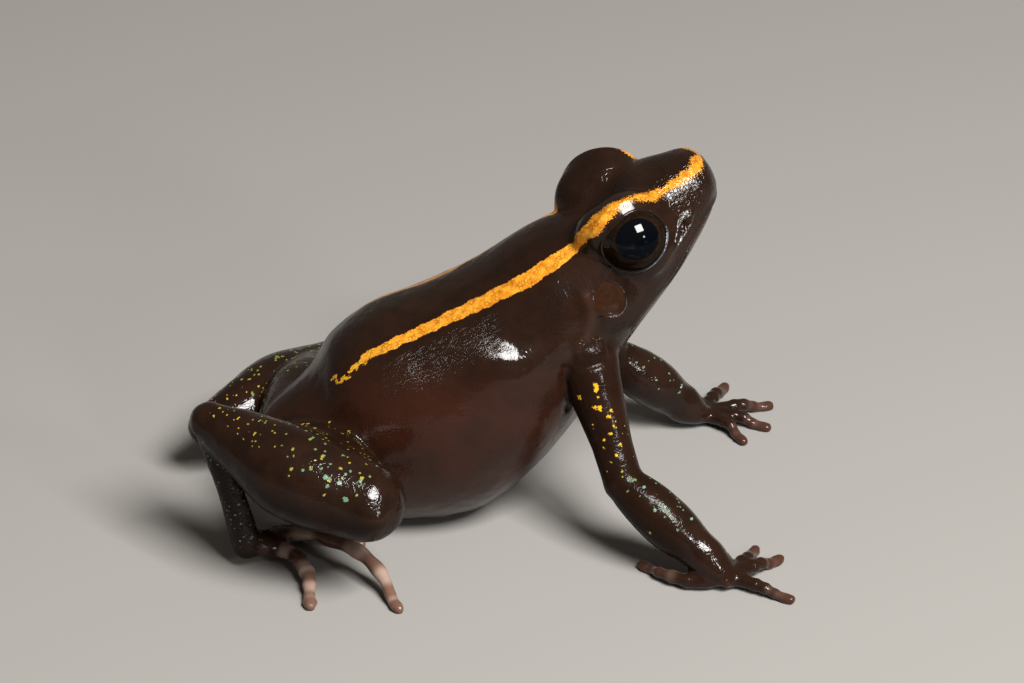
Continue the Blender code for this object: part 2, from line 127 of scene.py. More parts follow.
LEGS = {
    "right": {
        "hip": (-7.0, -1.6, 4.1),
        "thigh": (-6.3, -4.6, 4.95),
        "knee": (-5.2, -7.8, 5.3),
        "calf": (-7.9, -6.3, 6.0),
        "shin": (-9.9, -4.6, 6.7),
        "heel": (-11.6, -3.3, 7.4),
        "ankle": (-10.1, -4.2, 1.15),
        "instep": (-9.0, -3.8, 0.9),
        "toes": [
            [(-8.9, -3.2, 0.7), (-8.2, -2.5, 0.55), (-7.4, -1.9, 0.18)],
            [(-8.8, -3.3, 0.8), (-7.4, -2.7, 0.6), (-6.0, -2.4, 0.18)],
            [(-8.7, -3.3, 0.95), (-6.8, -3.0, 0.8), (-4.9, -3.4, 0.18)],
            [
                (-8.7, -3.4, 1.1), (-7.1, -4.3, 1.55), (-5.35, -5.7, 1.4), (-4.3, -7.2, 0.9),
                (-3.8, -9.0, 0.18),
            ],
            [(-9.0, -4.0, 0.8), (-8.0, -4.8, 0.75), (-7.55, -6.3, 0.55), (-7.7, -8.1, 0.18)],
        ],
    },
    "left": {
        "hip": (-7.0, 1.6, 3.9),
        "thigh": (-6.3, 4.4, 3.5),
        "knee": (-4.9, 7.5, 2.7),
        "calf": (-7.3, 6.0, 2.8),
        "shin": (-9.3, 4.8, 2.9),
        "heel": (-11.1, 3.8, 2.9),
        "ankle": (-9.2, 8.3, 0.9),
        "instep": (-8.2, 8.7, 0.8),
        "toes": [
            [(-8.0, 8.5, 0.6), (-7.1, 8.5, 0.45), (-6.2, 8.6, 0.18)],
            [(-7.9, 8.8, 0.65), (-6.5, 9.0, 0.55), (-5.0, 9.0, 0.18)],
            [(-7.9, 9.0, 0.7), (-5.9, 9.6, 0.65), (-3.9, 9.8, 0.18)],
            [(-7.9, 9.2, 0.75), (-6.0, 10.2, 0.85), (-4.1, 11.0, 0.6), (-2.6, 11.5, 0.18)],
            [(-8.1, 9.3, 0.65), (-7.1, 10.5, 0.6), (-6.3, 11.8, 0.18)],
        ],
    },
}
# Radii of the limbs from root to end
UPPER_ARM = (1.5, 1.18, 0.95, 0.92)
FOREARM = (0.9, 1.15, 1.2, 1.0)
FOREARM_SHARE = 0.8
WRIST = (0.98, 0.92, 0.85)
THIGH = (1.9, 2.0, 1.75)
SHANK = (1.85, 2.15, 1.6, 0.9)
# The shank starts this far past the knee
KNEE_LENGTH = 0.2
TARSUS = (0.8, 0.62, 0.7)
FINGER = (0.4, 0.32, 0.27)
TOE = (0.44, 0.36, 0.3)
FINGER_DISC = 0.4
TOE_DISC = 0.42
# Half height of the palm's end, half width and half height of the foot at ankle, middle and instep, and
# the share of its length at which its middle lies
PALM_HEIGHT = 0.45
FOOT = ((0.7, 0.62), (0.8, 0.6), (0.85, 0.5))
FOOT_MIDDLE = 0.6
# Shares of a digit's length at which its joints swell
KNUCKLES = (0.35, 0.53, 0.71)
KNUCKLE_SWELL, KNUCKLE_LENGTH = 0.15, 0.05
# Shares of its length at which it is drawn in between its joints
PINCHES = (0.26, 0.44, 0.62, 0.8)
PINCH_DEPTH, PINCH_LENGTH = 0.09, 0.06
# Height of a digit as a share of its width, and of the neck before its disc, which is lifted a little
DIGIT_FLAT, NECK_FLAT, NECK_LIFT = 0.92, 0.9, 0.06
# Neck, start and end of the disc, in disc sizes from the digit's last stop; the disc's end is smaller
DISC_STOPS, DISC_TAPER, DISC_HEIGHTS = (-1.3, -0.3, 0.45), 0.82, (0.25, 0.24)

# Skin mesh: size of its cells, in design units
CELL = 0.085

# Stripe on one side: on the head as behind, sideways and above the snout, then on the trunk as x, y, z;
# the fourth number is its half width there
STRIPE_HEAD = [
    (0.12, 0.1, 1.15, 0.2), (0.1, 0.5, 1.4, 0.27), (0.25, 0.9, 1.42, 0.3), (0.52, 1.15, 1.42, 0.28),
    (0.91, 1.28, 1.47, 0.26), (1.27, 1.42, 1.5, 0.25), (1.6, 1.5, 1.56, 0.23), (1.93, 1.6, 1.58, 0.2),
    (2.28, 1.71, 1.62, 0.23), (2.58, 1.85, 1.75, 0.34), (2.85, 2.2, 2.08, 0.36), (3.1, 2.38, 2.36, 0.28),
    (3.35, 2.48, 2.52, 0.22), (3.65, 2.59, 2.64, 0.2), (3.95, 2.68, 2.71, 0.21), (4.25, 2.74, 2.77, 0.26),
    (4.5, 2.74, 2.8, 0.34), (4.82, 2.77, 2.78, 0.4), (5.18, 2.77, 2.69, 0.43), (5.46, 2.73, 2.57, 0.46),
    (5.73, 2.72, 2.41, 0.44), (5.98, 2.59, 2.25, 0.37), (6.32, 2.38, 2.02, 0.31), (6.6, 2.1, 1.8, 0.29),
]
# The left side's stripe keeps to the outer face of its lid, where the photo hides it
STRIPE_FAR_LID = [
    (2.3, 2.0, 1.85, 0.22), (2.9, 2.6, 2.1, 0.34), (3.47, 3.05, 2.4, 0.24), (4.13, 3.3, 2.45, 0.24),
    (4.83, 3.2, 2.4, 0.38), (5.4, 2.95, 2.2, 0.44), (5.95, 2.5, 1.9, 0.36),
]
STRIPE_TRUNK = [
    (5.35, 1.75, 14.0, 0.33), (4.83, 1.94, 13.75, 0.36), (3.9, 2.15, 13.25, 0.41),
    (2.94, 2.18, 12.73, 0.4), (1.12, 2.0, 11.75, 0.36), (-0.73, 2.0, 10.91, 0.33),
    (-2.85, 2.18, 10.09, 0.28), (-3.54, 2.18, 9.79, 0.27), (-4.05, 2.11, 9.53, 0.25),
    (-4.72, 2.22, 8.96, 0.25), (-5.18, 2.2, 8.52, 0.25), (-5.69, 1.75, 8.14, 0.23),
]


def unit(vectors):
    return vectors / np.maximum(np.linalg.norm(vectors, axis=-1, keepdims=True), 1e-12)


def fade(values, low=0.0, high=1.0):
    """A smooth step from 0 at low to 1 at high."""
    t = np.clip((values - low) / (high - low), 0, 1)
    return t * t * (3 - 2 * t)


def hump(values, centre, spread):
    return np.exp(-(((values - centre) / spread) ** 2))


def band(values, start, full, fall, end):
    """1 between full and fall, fading to 0 at start and end."""
    return fade(values, start, full) * (1 - fade(values, fall, end))


def ends_faded(share, reach):
    """1 along a curve, fading to 0 over that share of it at each end."""
    return fade(share, 0, reach) * fade(1 - share, 0, reach)


def oval(ahead, up, size):
    """Distance from the middle of an oval, which is 1 on its edge."""
    return np.hypot(ahead / size[0], up / size[1])


def reach_of(points, spot):
    return np.linalg.norm(points - spot, axis=1)


def head_axes():
    cp, sp = math.cos(HEAD_PITCH), math.sin(HEAD_PITCH)
    cy, sy = math.cos(HEAD_YAW), math.sin(HEAD_YAW)
    forward, left = np.array((cp * cy, cp * sy, sp)), np.array((-sy, cy, 0.0))
    return forward, left, np.cross(forward, left)


FORWARD, LEFT, CROWN = head_axes()


def on_head(behind, left, height):
    """The place this far behind, left of and above the middle of the snout, along the head's own axes."""
    return SNOUT - FORWARD * behind + LEFT * left + CROWN * height


def beside_head(spot, sign):
    """The place of a spot that is given as behind, sideways and above, on the side with this sign."""
    return on_head(spot[0], sign * spot[1], spot[2])


def in_head(points):
    """The head's own coordinates of points: behind, left and above."""
    gap = points - SNOUT
    return -(gap @ FORWARD), gap @ LEFT, gap @ CROWN


def smooth_rows(rows, steps):
    """Catmull-Rom through rows of numbers, with that many steps between each two rows."""
    rows = np.array(rows, float)
    ends = np.vstack([rows[:1], rows, rows[-1:]])
    t = (np.arange(steps) / steps)[:, None]
    made = []
    for a, b, c, d in zip(ends, ends[1:], ends[2:], ends[3:]):
        curve = 2 * b + (c - a) * t + (2 * a - 5 * b + 4 * c - d) * t**2 + (3 * b - a - 3 * c + d) * t**3
        made.append(curve / 2)
    return np.vstack([*made, rows[-1:]])


def value_noise(points, size, seed):
    """Smooth noise from -1 to 1 whose features are about that size."""
    q = points / size + seed * 17.31
    cell = np.floor(q).astype(np.int64)
    t = q - cell
    t = t * t * (3 - 2 * t)
    total = 0.0
    for corner in np.ndindex(2, 2, 2):
        i, j, k = (cell + corner).T
        code = (i * 73856093) ^ (j * 19349663) ^ (k * 83492791) ^ (seed * 2654435761)
        code = (code ^ (code >> 13)) * 1274126177 & 0x7FFFFFFF
        code = (code ^ (code >> 15)) * 668265263 & 0x7FFFFFFF
        weight = np.prod(np.where(corner, t, 1 - t), axis=1)
        total = total + weight * (code % 65536 / 32767.5 - 1)
    return total


def length_shares(curve):
    """Share of the curve's length at each of its points."""
    lengths = np.concatenate([[0], np.cumsum(np.linalg.norm(np.diff(curve, axis=0), axis=1))])
    return lengths / lengths[-1]


def near_box(points, spots, reach):
    """Numbers of the points in the box round these spots, made wider by reach."""
    inside = (points > spots.min(0) - reach) & (points < spots.max(0) + reach)
    return np.nonzero(np.all(inside, axis=1))[0]


def curve_distance(points, curve, reach):
    """Distance from each point to a curve and its share of the way along, or 1000 and 0 for far points."""
    far, along = np.full(len(points), 1e3), np.zeros(len(points))
    ids = near_box(points, curve, reach)
    spots = points[ids]
    best, share = np.full(len(ids), 1e3), np.zeros(len(ids))
    shares = length_shares(curve)
    for k in range(len(curve) - 1):
        a, step = curve[k], curve[k + 1] - curve[k]
        t = np.clip((spots - a) @ step / max(step @ step, 1e-12), 0, 1)
        gap = np.linalg.norm(spots - a - t[:, None] * step, axis=1)
        better = gap < best
        best[better] = gap[better]
        share[better] = shares[k] + t[better] * (shares[k + 1] - shares[k])
    far[ids], along[ids] = best, share
    return far, along


def mirrored_curve(route, sign):
    """A smooth curve through a route that is given for the right side."""
    return smooth_rows([(x, -sign * y, z) for x, y, z in route], steps=8)


# Closed lofts in design units, as points and faces

def loft(rings, first_pole, last_pole):
    rings = np.array(rings)
    count, sides = rings.shape[:2]
    points = np.vstack([rings.reshape(-1, 3), first_pole, last_pole])
    ids = np.arange(count * sides).reshape(count, sides)
    after = np.roll(ids, -1, axis=1)
    quads = np.stack([ids[:-1], after[:-1], after[1:], ids[1:]], -1).reshape(-1, 4)
    first, last = count * sides, count * sides + 1
    caps = [(first, b, a) for a, b in zip(ids[0], after[0])]
    caps += [(last, a, b) for a, b in zip(ids[-1], after[-1])]
    return points, quads.tolist() + caps


def body_rows():
    """Sections from vent to snout: centre, half width, above, below, the two powers, pitch and yaw."""
    rows = [(x, 0, z, w, up, down, p, q, math.radians(pitch), 0) for x, z, pitch, w, up, down, p, q in TRUNK]
    for behind, w, widest, crown, chin, p, q in HEAD:
        centre = on_head(behind, 0, widest)
        rows.append((*centre, w, crown - widest, widest - chin, p, q, HEAD_PITCH, HEAD_YAW))
    return rows


def section_points(row, angles):
    """Points on one section of the body: 0 is its left side, 90 degrees its top."""
    x, y, z, width, above, below, power_up, power_down, pitch, yaw = row
    c, s = np.cos(angles), np.sin(angles)
    power = 2.0 / np.where(s >= 0, power_up, power_down)
    side = np.sign(c) * np.abs(c) ** power * width
    lift = np.sign(s) * np.abs(s) ** power * np.where(s >= 0, above, below)
    left = np.array((-math.sin(yaw), math.cos(yaw), 0))
    up = np.array((-math.sin(pitch) * math.cos(yaw), -math.sin(pitch) * math.sin(yaw), math.cos(pitch)))
    return np.array((x, y, z)) + side[:, None] * left + lift[:, None] * up


def body_loft(sides=140, steps=14):
    angles = 2 * math.pi * np.arange(sides) / sides
    rings = [section_points(row, angles) for row in smooth_rows(body_rows(), steps)]
    return loft(rings, VENT, on_head(*SNOUT_TIP))


def limb_rows(stops, steps):
    return smooth_rows([(*place, wide, tall) for place, wide, tall in stops], steps)


def round_rows(places, radii, steps):
    return limb_rows([(place, radius, radius) for place, radius in zip(places, radii)], steps)


def bone_rows(start, end, shares, radii, steps):
    """A straight round limb with these radii at its start, at these shares of its length and at its end."""
    return round_rows([start, *(mix(start, end, share) for share in shares), end], radii, steps)


def limb_loft(rows, sides=36, dome=8):
    """A limb through rows of place, half width and half height, with a dome on each end."""
    places, sizes = rows[:, :3], rows[:, 3:5]
    ahead = unit(np.vstack([places[1:], places[-1:]]) - np.vstack([places[:1], places[:-1]]))
    turns = 2 * math.pi * (np.arange(sides) + 0.5) / sides
    shares = np.sin(np.linspace(0, math.pi / 2, dome + 1))[1:-1]

    def ring(place, along, wide, tall):
        side = unit(np.cross(along, UP))
        lift = np.cross(side, along)
        return place + np.outer(np.cos(turns) * wide, side) + np.outer(np.sin(turns) * tall, lift)

    def dome_rings(end, way):
        """The rings of a dome from the limb's end outwards, and its pole."""
        step = way * ahead[end] * sizes[end].min()
        rings = [
            ring(places[end] + step * share, ahead[end], *(sizes[end] * math.sqrt(1 - share**2)))
            for share in shares
        ]
        return rings, places[end] + step

    first, first_pole = dome_rings(0, -1)
    last, last_pole = dome_rings(-1, 1)
    middle = [ring(*row) for row in zip(places, ahead, *sizes.T)]
    return loft(first[::-1] + middle + last, first_pole, last_pole)


def ball(centre, radius, sides=64, rings=32):
    turns = 2 * math.pi * np.arange(sides) / sides
    made = []
    for k in range(1, rings):
        polar = math.pi * k / rings
        flat = np.stack([np.cos(turns), np.sin(turns), np.zeros(sides)], -1) * math.sin(polar)
        made.append(centre + radius * (flat - UP * math.cos(polar)))
    return loft(made, centre - UP * radius, centre + UP * radius)


def outward(shape):
    """The same shape with its faces turned out."""
    points, faces = shape
    volume = 0.0
    for face in faces:
        a = points[face[0]]
        for b, c in zip(face[1:-1], face[2:]):
            volume += a @ np.cross(points[b], points[c])
    return (points, faces) if volume > 0 else (points, [tuple(reversed(face)) for face in faces])


def mix(a, b, share):
    return np.array(a) + (np.array(b) - np.array(a)) * share


def limb_parts():
    """Rows of centre, half width and half height for every limb length and digit, by name."""
    parts = {}
    for side in SIDES:
        at = ARMS[side]
        cuff = mix(at["elbow"], at["wrist"], FOREARM_SHARE)
        parts[f"upper_arm_{side}"] = bone_rows(at["shoulder"], at["elbow"], (0.35, 0.7), UPPER_ARM, steps=14)
        parts[f"forearm_{side}"] = bone_rows(at["elbow"], cuff, (0.33, 0.7), FOREARM, steps=14)
        stops = zip((cuff, at["wrist"], at["palm"]), WRIST, (*WRIST[:2], PALM_HEIGHT))
        parts[f"hand_{side}"] = limb_rows(stops, steps=10)
        for k, stops in enumerate(at["fingers"]):
            parts[f"finger_{k}_{side}"] = digit_rows(stops, FINGER, FINGER_DISC)
        at = LEGS[side]
        parts[f"thigh_{side}"] = round_rows((at["hip"], at["thigh"], at["knee"]), THIGH, steps=18)
        past_knee = at["knee"] + unit(np.array(at["knee"]) - np.array(at["calf"])) * KNEE_LENGTH
        stops = past_knee, at["calf"], at["shin"], at["heel"]
        parts[f"shank_{side}"] = round_rows(stops, SHANK, steps=16)
        parts[f"tarsus_{side}"] = bone_rows(at["heel"], at["ankle"], (0.5,), TARSUS, steps=16)
        stops = at["ankle"], mix(at["ankle"], at["instep"], FOOT_MIDDLE), at["instep"]
        stops = [(stop, *size) for stop, size in zip(stops, FOOT)]
        parts[f"foot_{side}"] = limb_rows(stops, steps=8)
        for k, stops in enumerate(at["toes"]):
            parts[f"toe_{k}_{side}"] = digit_rows(stops, TOE, TOE_DISC)
    return parts


def kind_of(part):
    """The kind of a limb part: forearm for forearm_left, toe for toe_2_right."""
    return part.rsplit("_", 1)[0].rstrip("_0123456789")


def digit_rows(stops, radii, disc):
    """A finger or toe that thins along its length, swells at its joints and ends in a small flat disc."""
    places = np.array(stops, float)
    along = places[-1] - places[-2]
    along = unit(np.array((along[0], along[1], 0.0)))
    thinner = np.interp(np.arange(len(places) - 1) / (len(places) - 1), (0, 0.5, 1), radii)
    rows = [(*spot, radius, radius * DIGIT_FLAT) for spot, radius in zip(places, thinner)]
    neck, start, end = (places[-1] + along * disc * share for share in DISC_STOPS)
    rows.append((*(neck + UP * NECK_LIFT), radii[2], radii[2] * NECK_FLAT))
    rows.append((*start, disc, DISC_HEIGHTS[0]))
    rows.append((*end, disc * DISC_TAPER, DISC_HEIGHTS[1]))
    made = smooth_rows(rows, steps=14)
    share = length_shares(made[:, :3])
    swell = 1 + sum(hump(share, centre, KNUCKLE_LENGTH) for centre in KNUCKLES) * KNUCKLE_SWELL
    swell -= sum(hump(share, centre, PINCH_LENGTH) for centre in PINCHES) * PINCH_DEPTH
    made[:, 3:5] *= swell[:, None]
    return made


# The skin: the lofts fused, their joints eased, then its folds and features

# Cells over which the seam of two kinds of parts is eased
SEAM_CELLS = {
    ("body", "lid"): 7,
    ("body", "upper_arm"): 7,
    ("body", "thigh"): 6,
    ("body", "shank"): 3,
    ("shank", "thigh"): 3,
    ("shank", "tarsus"): 5,
    ("forearm", "upper_arm"): 6,
    ("forearm", "hand"): 7,
    ("finger", "hand"): 4,
    ("foot", "toe"): 4,
    ("foot", "tarsus"): 6,
}
OTHER_SEAM_CELLS = 2
# Weight and rounds with which points are eased: at the seams, all over the fused skin and after each cut,
# then the lids and their rear corners, and last the tones that the points carry
SEAM_EASE, SKIN_EASE, CUT_EASE = (0.55, 34), (0.35, 3), (0.3, 1)
LID_EASE, CORNER_EASE, TONE_EASE = (0.5, 6), (0.6, 22), (0.7, 7)
LID_DOMES = ((LID_PLACE, LID_RADIUS), (LID_REAR_PLACE, LID_REAR_RADIUS))
# Edge of the lids: degrees round the eye, 0 ahead and 90 up, and degrees from the gaze
LID_MARGIN = [
    (-180, 78), (-150, 80), (-125, 78), (-103, 73), (-72, 64), (-45, 64), (-30, 66), (-15, 68), (0, 64),
    (20, 57), (43, 50), (62, 43), (90, 38), (116, 38), (135, 43), (150, 53), (165, 67), (180, 78),
]
LID_EDGE = 0.07
# The lids draw in the skin up to the first distance from the eye's centre, and none beyond the second
LID_HOLD = (2.65, 3.35)
# The lids act this far from the eye's centre and outside their edge
LID_ZONE = (3.4, 1.6)
# Height that the lower lid reaches, and its folds: distance outside its edge, half width and height
LOWER_LID_HEIGHT = 0.3
LOWER_LID_FOLDS = [(0.07, 0.06, 0.03), (0.24, 0.08, -0.035), (0.52, 0.07, -0.03)]
BROW_HEIGHT = 0.42
# Degrees round the eye at the rear corner of its lids, given twice for the way round, and how far it goes
LID_CORNERS, CORNER_SPREAD = (-132, 228), 38
TEAR_DEPTH = 0.16


def add_object(name, data):
    made = bpy.data.objects.new(name, data)
    bpy.context.scene.collection.objects.link(made)
    return made


def fused_skin(parts):
    """One closed mesh round the lofts of body, lids, limbs and digits."""
    shapes = [body_loft()]
    for sign in SIDES.values():
        shapes += [ball(beside_head(spot, sign), radius) for spot, radius in LID_DOMES]
    shapes += [limb_loft(rows) for rows in parts.values()]
    points, faces, base = [], [], 0
    for shape in map(outward, shapes):
        points.append(shape[0])
        faces += [tuple(i + base for i in face) for face in shape[1]]
        base += len(shape[0])
    mesh = bpy.data.meshes.new("skin")
    mesh.from_pydata(np.vstack(points).tolist(), [], faces)
    skin = add_object("skin", mesh)
    step = skin.modifiers.new("fuse", "REMESH")
    step.mode = "VOXEL"
    step.voxel_size = CELL
    step.adaptivity = 0
    bpy.context.view_layer.update()
    made = bpy.data.meshes.new_from_object(skin.evaluated_get(bpy.context.evaluated_depsgraph_get()))
    skin.modifiers.clear()
    skin.data = made
    return skin


def read_rows(items, key, size, kind):
    flat = np.empty(len(items) * size, kind)
    items.foreach_get(key, flat)
    return flat.reshape(-1, size)


def get_points(mesh):
    return read_rows(mesh.vertices, "co", 3, float)


def get_edges(mesh):
    return read_rows(mesh.edges, "vertices", 2, np.int32)


def get_normals(mesh):
    return read_rows(mesh.vertex_normals, "vector", 3, np.float32).astype(float)


def set_points(mesh, points):
    mesh.vertices.foreach_set("co", points.ravel())
    mesh.update()


def relax(points, edges, weight, rounds):
    """Moves each point towards the middle of its neighbours, by its weight, for a number of rounds."""
    count = len(points)
    weight = np.broadcast_to(weight, count)[:, None]
    degree = np.maximum(np.bincount(edges.ravel(), minlength=count), 1)
    a, b = edges.T
    for _ in range(rounds):
        middle = np.stack([
            (np.bincount(a, points[b, axis], count) + np.bincount(b, points[a, axis], count)) / degree
            for axis in range(points.shape[1])
        ], -1)
        points = points + weight * (middle - points)
    return points


def part_labels(points, parts):
    """The number of the limb part each point lies on, or -1 on the body."""
    best, label = np.full(len(points), 1.12), np.full(len(points), -1)
    for number, rows in enumerate(parts.values()):
        ids = near_box(points, rows[:, :3], rows[:, 3].max() * 1.2)
        ratio = np.full(len(ids), 9.0)
        for row in rows[::2]:
            gap = reach_of(points[ids], row[:3])
            ratio = np.minimum(ratio, gap / math.sqrt(row[3] * row[4]))
        better = ratio < best[ids]
        best[ids[better]], label[ids[better]] = ratio[better], number
    return label


def seam_weight(label, kinds, edges):
    """1 at a seam between unlike parts, fading to 0 over as many cells as that pair of parts has."""
    weight = np.zeros(len(label))
    a, b = edges.T
    seams = np.nonzero(label[a] != label[b])[0]
    pairs = [tuple(sorted((kinds[label[a[e]]], kinds[label[b[e]]]))) for e in seams]
    widths = np.array([SEAM_CELLS.get(pair, OTHER_SEAM_CELLS) for pair in pairs])
    for width in np.unique(widths):
        ring = np.full(len(label), 99)
        ring[edges[seams[widths == width]].ravel()] = 0
        for step in range(1, width + 1):
            for start, end in ((a, b), (b, a)):
                ring[end[(ring[start] == step - 1) & (ring[end] > step)]] = step
        weight = np.maximum(weight, fade(1 - ring / (width + 1)))
    return weight


def refine(mesh, wanted):
    """Splits the edges whose two ends are wanted, and the faces between them."""
    work = bmesh.new()
    work.from_mesh(mesh)
    chosen = [edge for edge in work.edges if wanted[edge.verts[0].index] and wanted[edge.verts[1].index]]
    bmesh.ops.subdivide_edges(work, edges=chosen, cuts=1, use_grid_fill=True)
    bmesh.ops.triangulate(work, faces=[face for face in work.faces if len(face.verts) > 4])
    work.to_mesh(mesh)
    work.free()


def eye_axes(sign):
    """Centre of the eye, and its axes: ahead, up and out along its gaze."""
    centre = beside_head(EYE_PLACE, sign)
    out = unit(FORWARD * EYE_GAZE[0] + LEFT * sign * EYE_GAZE[1] + CROWN * EYE_GAZE[2])
    ahead = unit(FORWARD - out * (FORWARD @ out))
    top = unit(CROWN - out * (CROWN @ out) - ahead * (CROWN @ ahead))
    return centre, ahead, top, out


def by_eye(points, sign):
    """Distance from the eye's centre, degrees round it (90 up) and distance outside the lid's edge."""
    centre, ahead, top, out = eye_axes(sign)
    gap = points - centre
    reach = np.linalg.norm(gap, axis=1)
    polar = np.arccos(np.clip(gap @ out / np.maximum(reach, 1e-9), -1, 1))
    turn = np.degrees(np.arctan2(gap @ top, gap @ ahead))
    return reach, turn, (polar - lid_margin(turn)) * EYE_RADIUS


def lid_margin(turn):
    """Angle from the gaze at which the lid's edge lies, for degrees round the eye."""
    stops = np.array(LID_MARGIN, float)
    turns = np.arange(-180, 181, 4.0)
    angles = np.interp(turns, stops[:, 0], stops[:, 1])
    for _ in range(3):
        wrapped = np.concatenate([angles[-2:-1], angles, angles[1:2]])
        angles = (wrapped[:-2] + 2 * wrapped[1:-1] + wrapped[2:]) / 4
    return np.radians(np.interp(turn, turns, angles))


def seat_eyes(points, edges):
    """Presses the skin round each eye into lids with a thin edge, and into a cup behind the eyeball."""
    points = points.copy()
    soft, corner = np.zeros(len(points)), np.zeros(len(points))
    for sign in SIDES.values():
        reach, turn, outside = by_eye(points, sign)
        near = (reach < LID_ZONE[0]) & (outside < LID_ZONE[1])
        over = fade(np.sin(np.radians(turn - 8)), -0.1, 0.6)
        lower = LOWER_LID_HEIGHT * fade(outside, 0.2, 0.75)
        lower += sum(height * hump(outside, place, width) for place, width, height in LOWER_LID_FOLDS)
        brow = BROW_HEIGHT * fade(outside, 0.02, 0.62)
        lid = EYE_RADIUS + LID_EDGE * fade(outside, -0.02, 0.05) + lower + (brow - lower) * over
        shape = lid + (reach - lid) * fade(outside, 0.25 + 0.2 * over, 0.8 + 0.5 * over)
        cup = EYE_RADIUS - TEAR_DEPTH
        target = cup + (shape - cup) * fade(outside, -0.05, 0.012)
        target += (reach - target) * fade(reach, *LID_HOLD)
        centre = eye_axes(sign)[0]
        points[near] = centre + (points[near] - centre) * (target / reach)[near, None]
        soft = np.maximum(soft, near * band(outside, 0.14, 0.4, 1.1, 1.6))
        rear = sum(hump(turn, place, CORNER_SPREAD) for place in LID_CORNERS)
        rear *= near * band(outside, 0.25, 0.5, 1.2, 1.5)
        corner = np.maximum(corner, rear)
    points = relax(points, edges, LID_EASE[0] * soft, LID_EASE[1])
    return relax(points, edges, CORNER_EASE[0] * corner, CORNER_EASE[1])


def place(points):
    """From design units to metres in the row frame, whose place is read from the solids' right eye."""
    low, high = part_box("eye_right")
    middle = (np.array(low) + np.array(high)) / 2
    eye = beside_head(EYE_PLACE, SIDES["right"])
    return (points - eye) * UNIT + middle


def skin_curve(route, tree, steps=12):
    """A smooth curve through a route, laid on the skin, and the route's further values along it."""
    curve = smooth_rows(route, steps)
    laid = np.array([nearest(tree, spot) for spot in curve[:, :3]])
    for _ in range(3):
        laid[1:-1] = (laid[:-2] + 2 * laid[1:-1] + laid[2:]) / 4
    return laid, curve[:, 3:]


def stripe_route(sign):
    head = STRIPE_HEAD if sign < 0 else STRIPE_HEAD[:8] + STRIPE_FAR_LID + STRIPE_HEAD[-1:]
    head = [(*beside_head(spot, sign), half) for *spot, half in head]
    return head + [(x, sign * y, z, half) for x, y, z, half in STRIPE_TRUNK]


def mouth_route():
    right = [beside_head(spot, -1) for spot in MOUTH]
    left = [beside_head(spot, 1) for spot in reversed(MOUTH)]
    return [*right, on_head(*MOUTH_FRONT), *left]


def make_tree(points):
    tree = KDTree(len(points))
    for number, point in enumerate(points):
        tree.insert(point, number)
    tree.balance()
    return tree


def nearest(tree, spot):
    return np.array(tree.find(Vector(spot))[0])


MOUTH = [
    (6.6, 3.45, -3.2), (5.9, 3.5, -2.75), (5.23, 3.3, -2.55), (4.44, 2.95, -2.35), (3.7, 2.7, -2.05),
    (2.73, 2.4, -1.6), (1.7, 1.95, -1.15), (0.9, 1.6, -0.85), (0.35, 1.0, -0.72),
]
MOUTH_FRONT = (0.08, 0, -0.68)
EAR_PLACE = (6.66, 3.67, -0.91)
EAR_SIZE = (0.72, 0.86)
NOSTRIL_PLACE = (2.42, 2.33, -0.18)
NOSTRIL_SIZE = (0.13, 0.26)
NOSTRIL_RIM = (0.27, 0.84)
NOSTRIL_LEAN = math.radians(-74)
# Points farther than this from the plane of an ear or nostril aren't part of it
FEATURE_DEPTH = 0.9
EAR_DEPTH, EAR_RIM = 0.085, 0.05
NOSTRIL_DEPTH, NOSTRIL_RISE = 0.15, 0.085
MOUTH_DEPTH, MOUTH_WIDTH = 0.12, 0.075
LIP_RISE, LIP_FALL = 0.05, 0.015
FLANK_TOP, FLANK_RISE = 10.72, 0.32
# Two rounds of finer cells: reach from the lid's edge, from ear and nostril, and from the mouth
FINER = (
    (0.85, {"ear": 1.3, "nostril": 1.1}, 0.4),
    (0.42, {"ear": 0, "nostril": 0.6}, 0.22),
)


def local_disc(points, normals, centre, lean=0.0):
    """Coordinates of points in the plane that touches the skin at a spot: ahead, up and out of it."""
    gap = points - centre
    close = np.linalg.norm(gap, axis=1) < 0.6
    out = unit(normals[close].sum(0))
    ahead = unit(FORWARD - out * (FORWARD @ out))
    top = np.cross(out, ahead)
    top = top if top @ CROWN > 0 else -top
    c, s = math.cos(lean), math.sin(lean)
    return gap @ (ahead * c + top * s), gap @ (top * c - ahead * s), gap @ out


def feature_spots(tree):
    spots = {}
    for side, sign in SIDES.items():
        for name, spot in (("ear", EAR_PLACE), ("nostril", NOSTRIL_PLACE)):
            spots[name, side] = nearest(tree, beside_head(spot, sign))
    return spots


